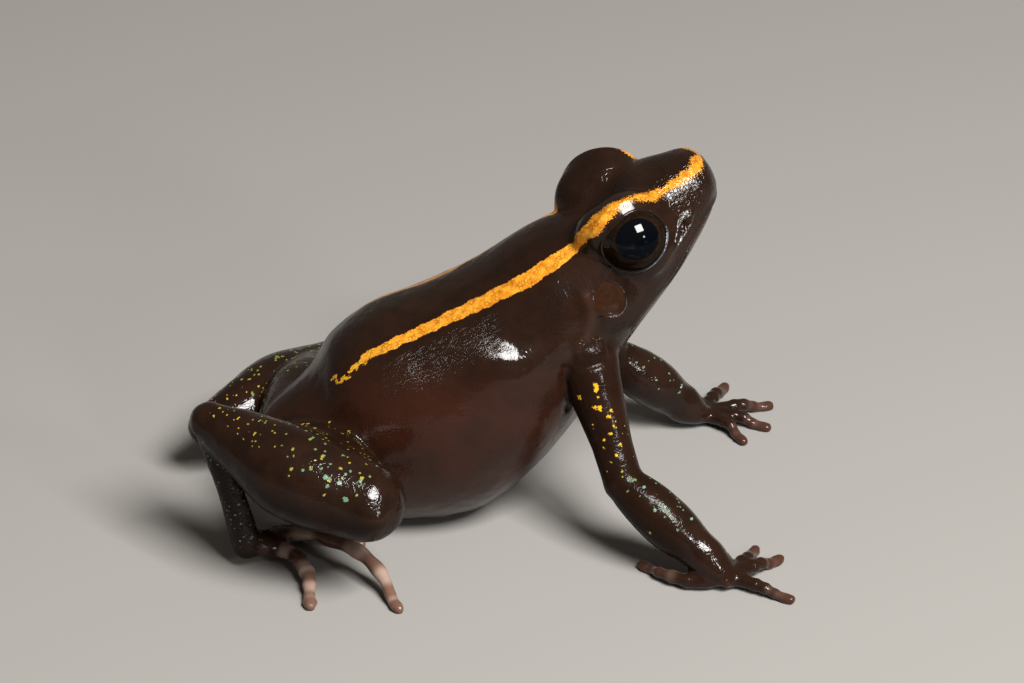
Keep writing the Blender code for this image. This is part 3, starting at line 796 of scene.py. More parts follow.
def build_skin():
    """The fused skin with eased seams, made finer round eyes, ears, nostrils and mouth."""
    parts = limb_parts()
    skin = fused_skin(parts)
    mesh = skin.data
    points, edges = get_points(mesh), get_edges(mesh)
    label = part_labels(points, parts)
    for sign in SIDES.values():
        centre = beside_head(LID_PLACE, sign)
        label[reach_of(points, centre) < LID_RADIUS * 1.03] = len(parts)
    kinds = dict(enumerate([*map(kind_of, parts), "lid"]))
    kinds[-1] = "body"
    points = relax(points, edges, SEAM_EASE[0] * seam_weight(label, kinds, edges), SEAM_EASE[1])
    points = relax(points, edges, *SKIN_EASE)
    set_points(mesh, points)
    tree = make_tree(points)
    spots = feature_spots(tree)
    mouth, _ = skin_curve(mouth_route(), tree)
    for by_lid, by_feature, by_lips in FINER:
        wanted = curve_distance(points, mouth, 0.6)[0] < by_lips
        for sign in SIDES.values():
            reach, _, outside = by_eye(points, sign)
            wanted |= (reach < 3) & (np.abs(outside - 0.3) < by_lid)
        for (name, _), spot in spots.items():
            wanted |= reach_of(points, spot) < by_feature[name]
        refine(mesh, wanted)
        points, edges = get_points(mesh), get_edges(mesh)
        points = relax(points, edges, *CUT_EASE)
        set_points(mesh, points)
    return skin, parts, points, spots, mouth


FOLDS = [
    # route on the right side in design units, half width, height: a ridge is positive, a crease negative
    (
        [(5.6, -3.35, 12.9), (6.0, -3.6, 11.9), (5.9, -3.8, 11.0), (5.45, -3.9, 10.3), (4.9, -4.0, 9.9)],
        0.42, 0.10,
    ),
    ([(6.4, -3.7, 11.6), (6.35, -3.85, 10.9), (5.95, -3.95, 10.4)], 0.2, -0.10),
    ([(5.0, -4.1, 9.85), (5.7, -4.2, 10.1), (6.3, -4.15, 10.15), (6.85, -3.8, 10.0)], 0.4, 0.17),
    (
        [(4.4, -4.1, 9.4), (5.07, -4.05, 9.06), (5.6, -4.3, 9.25), (6.3, -4.3, 9.4), (7.1, -3.7, 9.3)],
        0.16, -0.13,
    ),
    ([(4.6, -4.1, 9.2), (4.74, -4.05, 8.25), (4.88, -3.82, 7.31), (4.9, -3.5, 6.3)], 0.2, -0.16),
]


BUMPS = [
    # place in design units, half width, height: the right kneecap, both sides of the snout's tip, and
    # a flatter place on each flank
    ((-4.76, -9.66, 5.3), 0.6, 0.22),
    ((11.5, -1.01, 16.4), 0.24, 0.05),
    ((11.34, 2.12, 16.4), 0.24, 0.05),
    ((2.6, -4.15, 10.3), 1.0, -0.08),
    ((2.6, 4.15, 10.3), 1.0, -0.08),
]


def by_mouth(points, mouth):
    """Distance from the mouth line, share of the way along it, and whether a point lies above it."""
    distance, share = curve_distance(points, mouth, 1.2)
    along = np.clip((share * (len(mouth) - 1)).astype(int), 0, len(mouth) - 1)
    return distance, share, in_head(points)[2] > in_head(mouth)[2][along]


def mouth_rise(points, mouth):
    """A thin crease with a fuller upper lip."""
    distance, share, above = by_mouth(points, mouth)
    ends = ends_faded(share, 0.03)
    lips = np.where(above, LIP_RISE, -LIP_FALL) * hump(distance, 0.19, 0.13)
    return (lips - MOUTH_DEPTH * hump(distance, 0, MOUTH_WIDTH)) * ends


def ear_rise(points, normals, spot):
    """A shallow drum with a rim that is highest in front."""
    ahead, up, out = local_disc(points, normals, spot)
    q = oval(ahead, up, EAR_SIZE)
    front = 0.55 + 0.45 * ahead / (np.hypot(ahead, up) + 1e-6)
    drum = 0.035 * np.clip(1 - q, 0, 1) - EAR_DEPTH * (1 - fade(q, 0.72, 1.02))
    return (np.abs(out) < FEATURE_DEPTH) * (drum + EAR_RIM * front * hump(q, 1.1, 0.13))


def nostril_rise(points, normals, spot):
    """A raised oval ring with a small hole near its upper end."""
    ahead, up, out = local_disc(points, normals, spot, NOSTRIL_LEAN)
    hole = oval(ahead, up - 0.22, NOSTRIL_SIZE)
    ring = oval(ahead, up, NOSTRIL_RIM)
    rise = 0.05 * (1 - fade(ring, 0.8, 1.7)) - 0.05 * hump(ring, 0.45, 0.3)
    rise += NOSTRIL_RISE * hump(ring, 1.0, 0.2) - NOSTRIL_DEPTH * (1 - fade(hole, 0.45, 1.25))
    return (np.abs(out) < FEATURE_DEPTH) * rise


def flank_rise(points, normals):
    """A shoulder along the top of each flank, where the wet skin shines."""
    drop = FLANK_TOP - points[:, 2] + 0.12 * np.abs(points[:, 0] - 2.5)
    flank = band(drop, 0, 1.0, 1.3, 3.6) * hump(points[:, 0], 2.0, 1.9)
    return FLANK_RISE * flank * fade(np.abs(points[:, 1]), 2.8, 3.4) * fade(np.abs(normals[:, 1]), 0.3, 0.6)


def carve(mesh, points, spots, mouth):
    """Raises and sinks the skin along its normals for folds, mouth, ears and nostrils."""
    normals = get_normals(mesh)
    rise = mouth_rise(points, mouth) + flank_rise(points, normals)
    for route, width, height in FOLDS:
        for sign in SIDES.values():
            distance, share = curve_distance(points, mirrored_curve(route, sign), 1.5)
            rise += height * hump(distance, 0, width) * ends_faded(share, 0.15)
    for (name, _), spot in spots.items():
        rise += {"ear": ear_rise, "nostril": nostril_rise}[name](points, normals, spot)
    for spot, width, height in BUMPS:
        rise += height * hump(reach_of(points, spot), 0, width)
    return points + normals * rise[:, None]


# Markings, kept on the skin as signed distances in design units

SPOTS = [
    # x, y, z on the right side in design units, radius, hue: 0 gold, 1 turquoise
    (6.0, -4.83, 8.62, 0.16, 0.0), (6.04, -4.88, 8.35, 0.19, 0.0), (6.1, -5.0, 8.05, 0.13, 0.0),
    (5.31, -4.72, 7.92, 0.12, 0.0), (5.5, -4.75, 7.93, 0.08, 0.0), (6.18, -5.27, 7.6, 0.14, 0.0),
    (5.93, -5.22, 7.64, 0.13, 0.0), (6.67, -5.34, 7.49, 0.13, 0.0), (6.55, -5.5, 7.25, 0.14, 0.0),
    (6.72, -5.69, 6.85, 0.11, 0.05), (6.55, -5.87, 6.55, 0.13, 0.05), (6.26, -5.93, 6.28, 0.1, 0.1),
    (6.98, -6.12, 6.09, 0.13, 0.1), (6.21, -6.07, 5.94, 0.09, 0.1), (6.74, -6.4, 5.72, 0.13, 0.15),
    (6.46, -6.51, 5.4, 0.09, 0.3), (6.93, -6.86, 5.08, 0.07, 0.45), (7.41, -7.07, 4.76, 0.06, 0.6),
    (7.87, -7.39, 4.5, 0.09, 0.9), (8.23, -8.24, 3.74, 0.09, 0.9), (8.86, -8.32, 3.67, 0.08, 0.85),
    (9.18, -8.88, 2.97, 0.07, 0.8), (9.96, -8.31, 3.17, 0.07, 0.9), (10.52, -8.14, 2.63, 0.06, 0.8),
    (7.97, -8.42, 2.64, 0.12, 0.25), (11.49, -8.9, 1.56, 0.12, 0.25), (6.39, -3.72, 10.38, 0.08, 0.3),
    (6.45, -3.7, 10.43, 0.06, 0.3), (-7.22, -2.47, 6.35, 0.15, 0.0), (-6.98, -2.62, 6.43, 0.13, 0.0),
    (-6.76, -3.5, 6.71, 0.12, 0.05), (-6.9, -8.46, 7.1, 0.12, 0.9), (-6.3, -8.75, 6.92, 0.11, 0.95),
    (-6.07, -9.2, 6.27, 0.12, 0.85), (-4.94, -7.76, 7.17, 0.07, 0.4), (-5.26, -8.61, 6.98, 0.1, 0.4),
    (-5.71, -7.87, 7.38, 0.06, 0.35), (-5.99, -8.43, 7.15, 0.08, 0.9), (-7.5, -8.1, 7.35, 0.08, 0.6),
]
# This many of the first spots lie on the upper arm, and the left arm repeats them
ARM_SPOTS = 16
SCATTER = [
    # limb, number of spots, share of its length, angles round it (90 up), radius, hue
    ("upper_arm", 14, (0.45, 1.0), (20, 200), (0.03, 0.05), (0.2, 0.5)),
    ("forearm", 34, (0.0, 0.95), (30, 165), (0.035, 0.07), (0.65, 1.0)),
    ("thigh", 64, (0.3, 1.0), (15, 150), (0.035, 0.06), (0.15, 0.5)),
    ("shank", 46, (0.5, 1.0), (45, 165), (0.028, 0.05), (0.05, 0.4)),
    ("shank", 44, (0.22, 0.7), (40, 150), (0.045, 0.075), (0.35, 0.7)),
    ("shank", 46, (0.0, 0.4), (25, 150), (0.055, 0.09), (0.4, 0.85)),
    ("tarsus", 210, (0.03, 0.97), (0, 360), (0.028, 0.055), (0.9, 1.0)),
]
# Calm places of the skin, with finer grain: each side of the nape, and above the flanks
NAPE_PLACE, FLANK_PLACE = (7.9, 3, 0), (2.4, 0, 10.2)
# Paleness at a digit's root and tip, and of its joints
DIGIT_TONES = {"finger": (0.03, 0.35, 0.5), "toe": (0.3, 0.85, 1.0)}


def flakes(chance, centre, radius, hue):
    """A ragged patch: a spot made of small flakes, or the spot itself when it is small or green."""
    if radius < 0.085 or hue > 0.3:
        return [(centre, radius, hue)]
    made = [(centre, radius * 0.6, hue)]
    for _ in range(7):
        shift = chance.normal(0, 1, 3)
        shift *= radius * chance.uniform(0.45, 0.95) / np.linalg.norm(shift)
        made.append((centre + shift, radius * chance.uniform(0.22, 0.48), hue))
    return made


def limb_spots(chance, parts, tree):
    """Spots laid at random on the limbs, as many on the left as on the right."""
    made = []
    for side, sign in SIDES.items():
        for limb, count, shares, angles, radii, hues in SCATTER:
            rows = parts[f"{limb}_{side}"]
            for _ in range(count):
                share = chance.uniform(*shares)
                angle = math.radians(chance.uniform(*angles))
                k = min(int(share * (len(rows) - 1)), len(rows) - 2)
                along = unit(rows[k + 1, :3] - rows[k, :3])
                across = unit(np.cross(along, UP))
                lift = np.cross(across, along)
                across = across * (sign if across[1] > 0 else -sign)
                surface = rows[k, :3] + rows[k, 3] * (across * math.cos(angle) + lift * math.sin(angle))
                laid, _, gap = tree.find(Vector(surface))
                hue = chance.uniform(*hues)
                radius = chance.uniform(*radii)
                if gap < 0.25:
                    made.append((np.array(laid), radius, hue))
    return made


def left_arm_place(spot):
    """The place on the left upper arm that matches a spot on the right one."""
    right, left = (ARMS[side] for side in ("right", "left"))
    bone = np.array(right["elbow"]) - np.array(right["shoulder"])
    gap = np.array(spot) - np.array(right["shoulder"])
    share = gap @ bone / (bone @ bone)
    return mix(left["shoulder"], left["elbow"], share) + (gap - bone * share) * (1, -1, 1)


def all_spots(parts, tree, seed=11):
    """Centres, radii and hues of the small spots, laid on the skin. Both arms have the same large ones."""
    chance = np.random.default_rng(seed)
    made = []
    for *spot, radius, hue in SPOTS:
        made += flakes(chance, np.array(spot), radius, hue)
    made += limb_spots(chance, parts, tree)
    for *spot, radius, hue in SPOTS[:ARM_SPOTS]:
        made += flakes(chance, nearest(tree, left_arm_place(spot)), radius, hue)
    return made


def add_value(mesh, name, values):
    layer = mesh.attributes.new(name, "FLOAT", "POINT")
    layer.data.foreach_set("value", values.astype(np.float32))


def mark_stripe(mesh, points, tree):
    stripe, along = np.full(len(points), -1.0), np.zeros(len(points))
    for sign in SIDES.values():
        curve, half = skin_curve(stripe_route(sign), tree)
        distance, share = curve_distance(points, curve, 1.0)
        value = np.interp(share, length_shares(curve), half[:, 0]) - distance
        better = value > stripe
        stripe[better], along[better] = value[better], share[better]
    add_value(mesh, "stripe", stripe)
    add_value(mesh, "along", along)


def mark_spots(mesh, points, tree, parts):
    spot, hue = np.full(len(points), -0.5), np.zeros(len(points))
    for centre, radius, colour in all_spots(parts, tree):
        for _, number, gap in tree.find_range(Vector(centre), radius + 0.12):
            if radius - gap > spot[number]:
                spot[number], hue[number] = radius - gap, colour
    add_value(mesh, "spot", spot)
    add_value(mesh, "hue", hue)


def limb_tones(points, normals, parts, label):
    """Paleness, swollen joints, grain and wetness of the skin before the head and trunk are worked in."""
    pale_and_sheen, joint, wet = np.zeros(len(points)), np.zeros(len(points)), np.ones(len(points))
    grain = 0.3 + 0.15 * fade(points[:, 0], 2.0, 6.0) + 0.55 * fade(-in_head(points)[0], -4.0, -2.8)
    grain[label >= 0] = 0.3
    for number, name in enumerate(parts):
        kind = kind_of(name)
        ids = np.nonzero(label == number)[0]
        pale_and_sheen[ids] = {"foot": 0.3, "hand": 0.04}.get(kind, 0.0)
        if kind in DIGIT_TONES:
            gap = np.linalg.norm(points[ids, None] - parts[name][None, ::2, :3], axis=2)
            share = np.argmin(gap, axis=1) / (gap.shape[1] - 1)
            low, high, joints = DIGIT_TONES[kind]
            pale_and_sheen[ids] = low + (high - low) * fade(share, 0.05, 0.6)
            joint[ids] = joints * sum(hump(share, centre, KNUCKLE_LENGTH) for centre in (0.14, *KNUCKLES))
        elif kind == "tarsus":
            grain[ids] = 0.9
        if kind in ("thigh", "shank", "tarsus"):
            wet[ids] = 1 - 0.7 * fade(-normals[ids, 2], -0.35, 0.3)
        elif kind in ("upper_arm", "forearm"):
            wet[ids] = 0.4 + 0.6 * fade(points[ids, 0], 9.0, 9.9) * (kind == "forearm")
    return pale_and_sheen, joint, grain, wet


def mark_tones(mesh, points, normals, parts, label, mouth):
    pale_and_sheen, joint, grain, wet = limb_tones(points, normals, parts, label)
    for sign in SIDES.values():
        # A painted sheen: the fold behind each ear is painted paler along its ridge
        distance, _ = curve_distance(points, mirrored_curve(FOLDS[0][0], sign), 1.0)
        pale_and_sheen = np.maximum(pale_and_sheen, 0.2 * hump(distance, 0, 0.28))
        reach, _, outside = by_eye(points, sign)
        grain *= 1 - 0.75 * (reach < 3) * (1 - fade(outside, 0.3, 0.9))
        nape = hump(reach_of(points, beside_head(NAPE_PLACE, sign)), 0, 1.5)
        grain, wet = grain * (1 - 0.5 * nape), wet * (1 - 0.75 * nape)
    distance, _, above = by_mouth(points, mouth)
    chin = ~above * band(distance, 0.05, 0.12, 0.3, 0.9)
    pale_and_sheen = np.maximum(pale_and_sheen, 0.2 * chin)
    grain *= 1 - 0.55 * hump(reach_of(points * (1, 0, 1), FLANK_PLACE), 0, 1.6)
    tones = {"pale_and_sheen": pale_and_sheen, "joint": joint, "grain": grain, "wet": wet}
    eased = relax(np.stack([*tones.values()], 1), get_edges(mesh), *TONE_EASE)
    for name, values in zip(tones, eased.T):
        add_value(mesh, name, values)


def mark_trunk(mesh, points, label):
    """The russet belly, and the fine wrinkles on the flank under the stripe."""
    belly = fade(10.2 - points[:, 2], 0, 2.6) * (label < 0) * (1 - 0.6 * fade(points[:, 0], -2.0, -7.0))
    add_value(mesh, "belly", belly)
    stripe = np.array(STRIPE_TRUNK)[::-1]
    drop = np.interp(points[:, 0], stripe[:, 0], stripe[:, 2]) - points[:, 2]
    wrinkle = band(drop, 0.1, 0.5, 1.2, 2.4) * fade(points[:, 0], -5.0, -3.4)
    add_value(mesh, "wrinkle", wrinkle * (1 - fade(points[:, 0], 1.0, 2.6)) * (label < 0))


def mark_drums_and_painted_sheen(mesh, points, normals, spots):
    """The ear drums, a painted bluish reflection along the lower lids' and the ears' front edges, and
    painted highlights round the nostrils.
    """
    rim_sheen, ear, glint = (np.full(len(points), -1.0) for _ in range(3))
    for sign in SIDES.values():
        reach, turn, outside = by_eye(points, sign)
        # A painted bluish reflection along the front and lower part of each lower lid's edge
        width = 0.055 * fade(turn, -140, -75) * fade(-turn, 4, 30)
        value = width - np.abs(outside - 0.075)
        rim_sheen = np.where((reach < 2.4) & (width > 0.004), np.maximum(rim_sheen, value), rim_sheen)
    for (name, _), spot in spots.items():
        ahead, up, out = local_disc(points, normals, spot, NOSTRIL_LEAN if name == "nostril" else 0.0)
        close = np.abs(out) < FEATURE_DEPTH
        if name == "nostril":
            # A painted highlight along the raised ring round the nostril
            ring = oval(ahead, up, NOSTRIL_RIM)
            value = 0.035 * fade(np.abs(ahead), 0.08, 0.2) - 0.3 * np.abs(ring - 1.0)
            glint = np.where(close, np.maximum(glint, value), glint)
        else:
            q = oval(ahead, up, EAR_SIZE)
            ear = np.where(close, np.maximum(ear, 1 - q), ear)
            # A painted bluish reflection along the front edge of each ear
            turn = np.degrees(np.arctan2(up, ahead))
            width = 0.011 * fade(-np.abs(turn + 34), -108, -70)
            value = width - np.abs(q - 1.03) * 0.6
            rim_sheen = np.where(close & (width > 0.002), np.maximum(rim_sheen, value), rim_sheen)
    for name, values in (("rim_sheen", rim_sheen), ("ear", ear), ("glint", glint)):
        add_value(mesh, name, values)


def mark_skin(mesh, parts, points, spots, mouth):
    """Writes the markings of the skin to its points."""
    tree, normals, label = make_tree(points), get_normals(mesh), part_labels(points, parts)
    mark_stripe(mesh, points, tree)
    mark_spots(mesh, points, tree, parts)
    mark_tones(mesh, points, normals, parts, label, mouth)
    mark_trunk(mesh, points, label)
    mark_drums_and_painted_sheen(mesh, points, normals, spots)


# Materials

class Nodes:
    """A small helper that adds nodes to one material and links them."""

    def __init__(self, material):
        self.tree = material.node_tree

    def put(self, socket, value):
        if isinstance(value, bpy.types.NodeSocket):
            self.tree.links.new(value, socket)
        else:
            socket.default_value = value

    def add(self, kind, given=(), **settings):
        """A new node with these settings, and with its inputs by name or number."""
        made = self.tree.nodes.new(kind)
        for key, value in settings.items():
            setattr(made, key, value)
        for key, value in dict(given).items():
            self.put(made.inputs[key], value)
        return made.outputs

    def value(self, name):
        return self.add("ShaderNodeAttribute", attribute_name=name)["Fac"]

    def maths(self, operation, first, second=0.0):
        return self.add("ShaderNodeMath", {0: first, 1: second}, operation=operation)[0]

    def plus(self, first, second):
        return self.maths("ADD", first, second)

    def minus(self, first, second):
        return self.maths("SUBTRACT", first, second)

    def times(self, first, second):
        return self.maths("MULTIPLY", first, second)

    def span(self, value, low, high, to_low=0.0, to_high=1.0):
        """A smooth step of value between low and high, as to_low to to_high."""
        given = {0: value, 1: low, 2: high, 3: to_low, 4: to_high}
        return self.add("ShaderNodeMapRange", given, interpolation_type="SMOOTHSTEP")[0]

    def noise(self, vector, size, detail=3.0, rough=0.55, warp=0.0):
        given = {"Vector": vector, "Scale": 1 / size, "Detail": detail, "Roughness": rough}
        return self.add("ShaderNodeTexNoise", {**given, "Distortion": warp})[0]

    def cells(self, vector, size, feature="F1"):
        given = {"Vector": vector, "Scale": 1 / size}
        return self.add("ShaderNodeTexVoronoi", given, feature=feature)["Distance"]

    def mix(self, share, first, second):
        made = self.tree.nodes.new("ShaderNodeMix")
        made.data_type = "RGBA"
        for number, value in ((0, share), (6, first), (7, second)):
            self.put(made.inputs[number], value)
        return made.outputs[2]

    def ramp(self, share, stops):
        made = self.tree.nodes.new("ShaderNodeValToRGB")
        elements = made.color_ramp.elements
        while len(elements) < len(stops):
            elements.new(0.5)
        for element, (place, colour) in zip(elements, stops):
            element.position, element.color = place, colour
        self.put(made.inputs[0], share)
        return made.outputs[0]

    def bump(self, height, distance):
        given = {"Strength": 1.0, "Distance": distance, "Height": height}
        return self.add("ShaderNodeBump", given)[0]

    def millimetres(self):
        """The object's own coordinates, in millimetres."""
        given = {0: self.add("ShaderNodeTexCoord")["Object"], "Scale": 1000.0}
        return self.add("ShaderNodeVectorMath", given, operation="SCALE")[0]


def new_material(name, roughness, **values):
    made = bpy.data.materials.new(name)
    made.use_nodes = True
    shader = made.node_tree.nodes["Principled BSDF"]
    shader.inputs["Roughness"].default_value = roughness
    for key, value in values.items():
        shader.inputs[key.replace("_", " ")].default_value = value
    return made, shader, Nodes(made)


DARK = (0.0080, 0.0034, 0.0018, 1)
BROWN = (0.0130, 0.0052, 0.0027, 1)
RUSSET = (0.0220, 0.0063, 0.0031, 1)
ORANGE = (0.52, 0.24, 0.021, 1)
DEEP_ORANGE = (0.43, 0.150, 0.009, 1)
CRACK_ORANGE = (0.17, 0.042, 0.003, 1)
GOLD = (0.43, 0.25, 0.012, 1)
PINK = (0.046, 0.019, 0.012, 1)
PALE = (0.112, 0.060, 0.042, 1)
KNUCKLE_PALE = (0.25, 0.175, 0.14, 1)
# Colour of the painted highlights round the nostrils
GLINT = (0.27, 0.28, 0.285, 1)
EAR_BROWN = (0.0205, 0.0076, 0.0029, 1)
# Colour of the painted bluish reflection along the lower lids' and ears' edges
RIM_SHEEN_BLUE = (0.088, 0.118, 0.155, 1)
FLECK = (0.019, 0.0082, 0.0048, 1)
EAR_DARK = (0.0155, 0.0054, 0.0021, 1)
# Colours of the small spots by hue, from gold through green to turquoise
SPOT_COLOURS = [
    (0.0, (0.45, 0.25, 0.010, 1)),
    (0.3, (0.28, 0.22, 0.020, 1)),
    (0.6, (0.12, 0.15, 0.033, 1)),
    (0.88, (0.07, 0.16, 0.11, 1)),
    (1.0, (0.22, 0.31, 0.26, 1)),
]
IRIS_DARK, IRIS_BROWN = (0.0042, 0.0021, 0.0012, 1), (0.0088, 0.0042, 0.0020, 1)
IRIS_RING, IRIS_EDGE = (0.019, 0.0088, 0.0034, 1), (0.0035, 0.0018, 0.0012, 1)
# The second pupil colour is a painted reflection
PUPIL, PUPIL_REFLECTION = (0.0007, 0.0010, 0.0018, 1), (0.0065, 0.0100, 0.0110, 1)
# Middle of the pupil in the eye's own axes, and its half width and half height, in millimetres
PUPIL_PLACE, PUPIL_SIZE = (-0.03, -0.14), (1.02, 0.93)
# Depth of the skin's relief and of the film's on it, in metres
SKIN_RELIEF, FILM_RELIEF = 0.000016, 0.000013
WRINKLE_LEAN, WRINKLE_STRETCH = math.radians(27), (0.38, 1.0, 1.5)


def skin_ground(n, at, fine, ear):
    """Dark brown skin with russet flanks, ear drums and paler digits, and a painted sheen along the fold
    behind each ear.
    """
    colour = n.mix(n.span(n.noise(at, 1.6, 4), 0.35, 0.7), DARK, BROWN)
    russet = n.times(n.value("belly"), n.span(n.noise(at, 2.2), 0.25, 0.65, 0.45, 1.0))
    colour = n.mix(russet, colour, RUSSET)
    colour = n.mix(n.span(fine, 0.5, 0.75, 0.0, 0.3), colour, FLECK)
    drum = n.mix(n.span(n.noise(at, 0.22, 4), 0.35, 0.7), EAR_DARK, EAR_BROWN)
    colour = n.mix(ear, colour, drum)
    pale_and_sheen = n.value("pale_and_sheen")
    digit = n.mix(n.span(pale_and_sheen, 0.3, 0.95), PINK, PALE)
    digit = n.mix(n.span(n.value("joint"), 0.15, 0.85, 0.0, 0.85), digit, KNUCKLE_PALE)
    return n.mix(n.span(pale_and_sheen, 0.03, 0.45), colour, digit)


def skin_stripe(n, at, fine):
    """Where the stripe lies, with a ragged, granular edge, and its colour."""
    along = n.value("along")
    edge = n.minus(n.noise(at, 0.2, 5, 0.65), 0.5)
    wave = n.minus(n.noise(at, 0.55, 2, 0.5), 0.5)
    grain = n.minus(n.cells(at, 0.075), 0.42)
    ragged = n.span(along, 0.27, 0.4, 0.3, 0.07)
    broken = n.times(n.span(n.noise(at, 0.42, 2), 0.44, 0.56, 0.24, 0.0), n.span(along, 0.88, 0.95))
    line = n.plus(n.value("stripe"), n.times(edge, 0.15))
    line = n.plus(line, n.times(wave, 0.3))
    line = n.minus(line, n.times(grain, ragged))
    line = n.minus(line, broken)
    tone = n.mix(n.span(n.noise(at, 0.3, 4), 0.35, 0.65), DEEP_ORANGE, ORANGE)
    tone = n.mix(n.span(along, 0.8, 0.95), tone, n.mix(n.span(fine, 0.4, 0.6), ORANGE, GOLD))
    crack = n.span(n.cells(at, 0.17, "DISTANCE_TO_EDGE"), 0.02, 0.24, 1.0, 0.0)
    crack = n.times(crack, n.span(n.noise(at, 0.35, 2), 0.35, 0.65, 0.1, 0.75))
    return n.span(line, -0.012, 0.018), n.mix(crack, tone, CRACK_ORANGE)


def skin_relief(n, at, ear, stripe, dot):
    """Height of the fine relief: granules, pimples, wrinkles, and raised stripe and spots."""
    grain = n.value("grain")
    granule = n.span(n.cells(at, 0.19, "DISTANCE_TO_EDGE"), 0.0, 0.14, 0.0, 0.6)
    height = n.plus(granule, n.times(n.noise(at, 0.07, 3, 0.6, 0.4), 0.3))
    height = n.times(height, grain)
    height = n.plus(height, n.times(n.noise(at, 0.45), 1.3))
    pimple = n.span(n.cells(at, 0.42), 0.2, 0.05, 0.0, 1.6)
    height = n.plus(height, n.times(pimple, grain))
    turned = n.add("ShaderNodeVectorRotate", {"Vector": at, "Angle": WRINKLE_LEAN}, rotation_type="Y_AXIS")
    longer = n.add("ShaderNodeVectorMath", {0: turned[0], 1: WRINKLE_STRETCH}, operation="MULTIPLY")
    crease = n.noise(longer[0], 0.17, 4, 0.6, 0.9)
    height = n.plus(height, n.times(n.times(crease, 4.0), n.value("wrinkle")))
    height = n.times(height, n.minus(1.0, n.times(ear, 0.75)))
    height = n.plus(height, n.times(stripe, 0.5))
    return n.plus(height, n.times(dot, 0.6))


def skin_material():
    """Skin under a wet film, with stripe and spots painted by the values at its points, painted reflections
    along the lid and ear edges and painted highlights round the nostrils.
    """
    made, shader, n = new_material(
        "frog_skin", 0.4, Coat_Weight=1.0, Coat_Roughness=0.05, IOR=1.4, Coat_IOR=1.29,
        Specular_IOR_Level=0.03,
    )
    at = n.millimetres()
    fine = n.noise(at, 0.12, 4, 0.6)
    ear = n.span(n.value("ear"), -0.02, 0.08)
    stripe, tone = skin_stripe(n, at, fine)
    colour = n.mix(stripe, skin_ground(n, at, fine, ear), tone)
    patchy = n.minus(n.noise(at, 0.1, 3, 0.6), 0.5)
    dot = n.span(n.plus(n.value("spot"), n.times(patchy, 0.16)), -0.008, 0.02)
    colour = n.mix(dot, colour, n.ramp(n.value("hue"), SPOT_COLOURS))
    # Painted reflection along the lower lids' and ears' edges, broken by noise
    rim_sheen = n.span(n.value("rim_sheen"), -0.012, 0.02)
    colour = n.mix(n.times(rim_sheen, n.span(n.noise(at, 0.2), 0.35, 0.6, 0.35, 1.0)), colour, RIM_SHEEN_BLUE)
    # Painted highlights round the nostrils, broken by noise
    glint = n.span(n.value("glint"), -0.008, 0.012)
    colour = n.mix(n.times(glint, n.span(n.noise(at, 0.2, 4, 0.65), 0.47, 0.55)), colour, GLINT)
    height = skin_relief(n, at, ear, stripe, dot)
    facing = n.add("ShaderNodeLayerWeight")["Facing"]
    rough = n.span(n.noise(at, 0.6, 4), 0.3, 0.7, 0.32, 0.5)
    n.put(shader.inputs["Base Color"], colour)
    n.put(shader.inputs["Normal"], n.bump(height, SKIN_RELIEF))
    n.put(shader.inputs["Coat Normal"], n.bump(height, FILM_RELIEF))
    n.put(shader.inputs["Coat Weight"], n.times(n.value("wet"), n.span(facing, 0.7, 1.0, 1.0, 0.3)))
    n.put(shader.inputs["Roughness"], n.plus(rough, n.times(stripe, 0.06)))
    return made


def eye_material():
    """Pupil with a painted reflection in its lower half, and iris, painted by place: z is the gaze and x is
    ahead in the eye's own axes.
    """
    made, shader, n = new_material(
        "frog_eye", 0.3, Coat_Weight=1.0, Coat_Roughness=0.0, Coat_IOR=1.29, IOR=1.34,
        Specular_IOR_Level=0.0,
    )
    at = n.millimetres()
    x, y, z = n.add("ShaderNodeSeparateXYZ", {0: at})
    wide = n.maths("DIVIDE", n.minus(x, PUPIL_PLACE[0]), PUPIL_SIZE[0])
    tall = n.maths("DIVIDE", n.minus(y, PUPIL_PLACE[1]), PUPIL_SIZE[1])
    span = n.maths("SQRT", n.plus(n.times(wide, wide), n.times(tall, tall)))
    span = n.plus(span, n.times(n.maths("LESS_THAN", z, 0.0), 5.0))
    fibre = n.noise(at, 0.12, 5, 0.6)
    iris = n.mix(n.span(fibre, 0.4, 0.65), IRIS_DARK, IRIS_BROWN)
    ring = n.times(n.span(span, 1.0, 1.05), n.span(span, 1.05, 1.2, 1.0, 0.0))
    ring = n.times(ring, n.span(n.minus(x, y), -0.3, 1.2, 0.15, 1.0))
    iris = n.mix(n.times(ring, n.span(fibre, 0.3, 0.7, 0.2, 0.8)), iris, IRIS_RING)
    iris = n.mix(n.span(span, 1.34, 1.5), iris, IRIS_EDGE)
    # A painted reflection, teal and cloudy, in the pupil's lower half
    lower_pupil_reflection = n.times(n.span(n.noise(at, 0.4, 4, 0.6, 0.8), 0.52, 0.72), n.span(y, 0.1, -0.6))
    pupil = n.mix(lower_pupil_reflection, PUPIL, PUPIL_REFLECTION)
    # The wet film thins towards the lower lid
    n.put(shader.inputs["Coat Weight"], n.span(y, -0.5, 0.22, 0.25, 1.0))
    n.put(shader.inputs["Base Color"], n.mix(n.span(span, 0.975, 1.01), pupil, iris))
    return made


# Height of the clear bulge over the pupil, as a share of the eye's radius, the angle from the gaze at
# which it ends, and the angle over which it rises
BULGE = 0.028
BULGE_EDGE, BULGE_SLOPE = math.radians(62), math.radians(40)


def new_mesh(name, work):
    """A mesh from a work mesh, which is freed."""
    mesh = bpy.data.meshes.new(name)
    work.to_mesh(mesh)
    work.free()
    return mesh


def dress(mesh, look):
    mesh.polygons.foreach_set("use_smooth", [True] * len(mesh.polygons))
    mesh.materials.clear()
    mesh.materials.append(look)


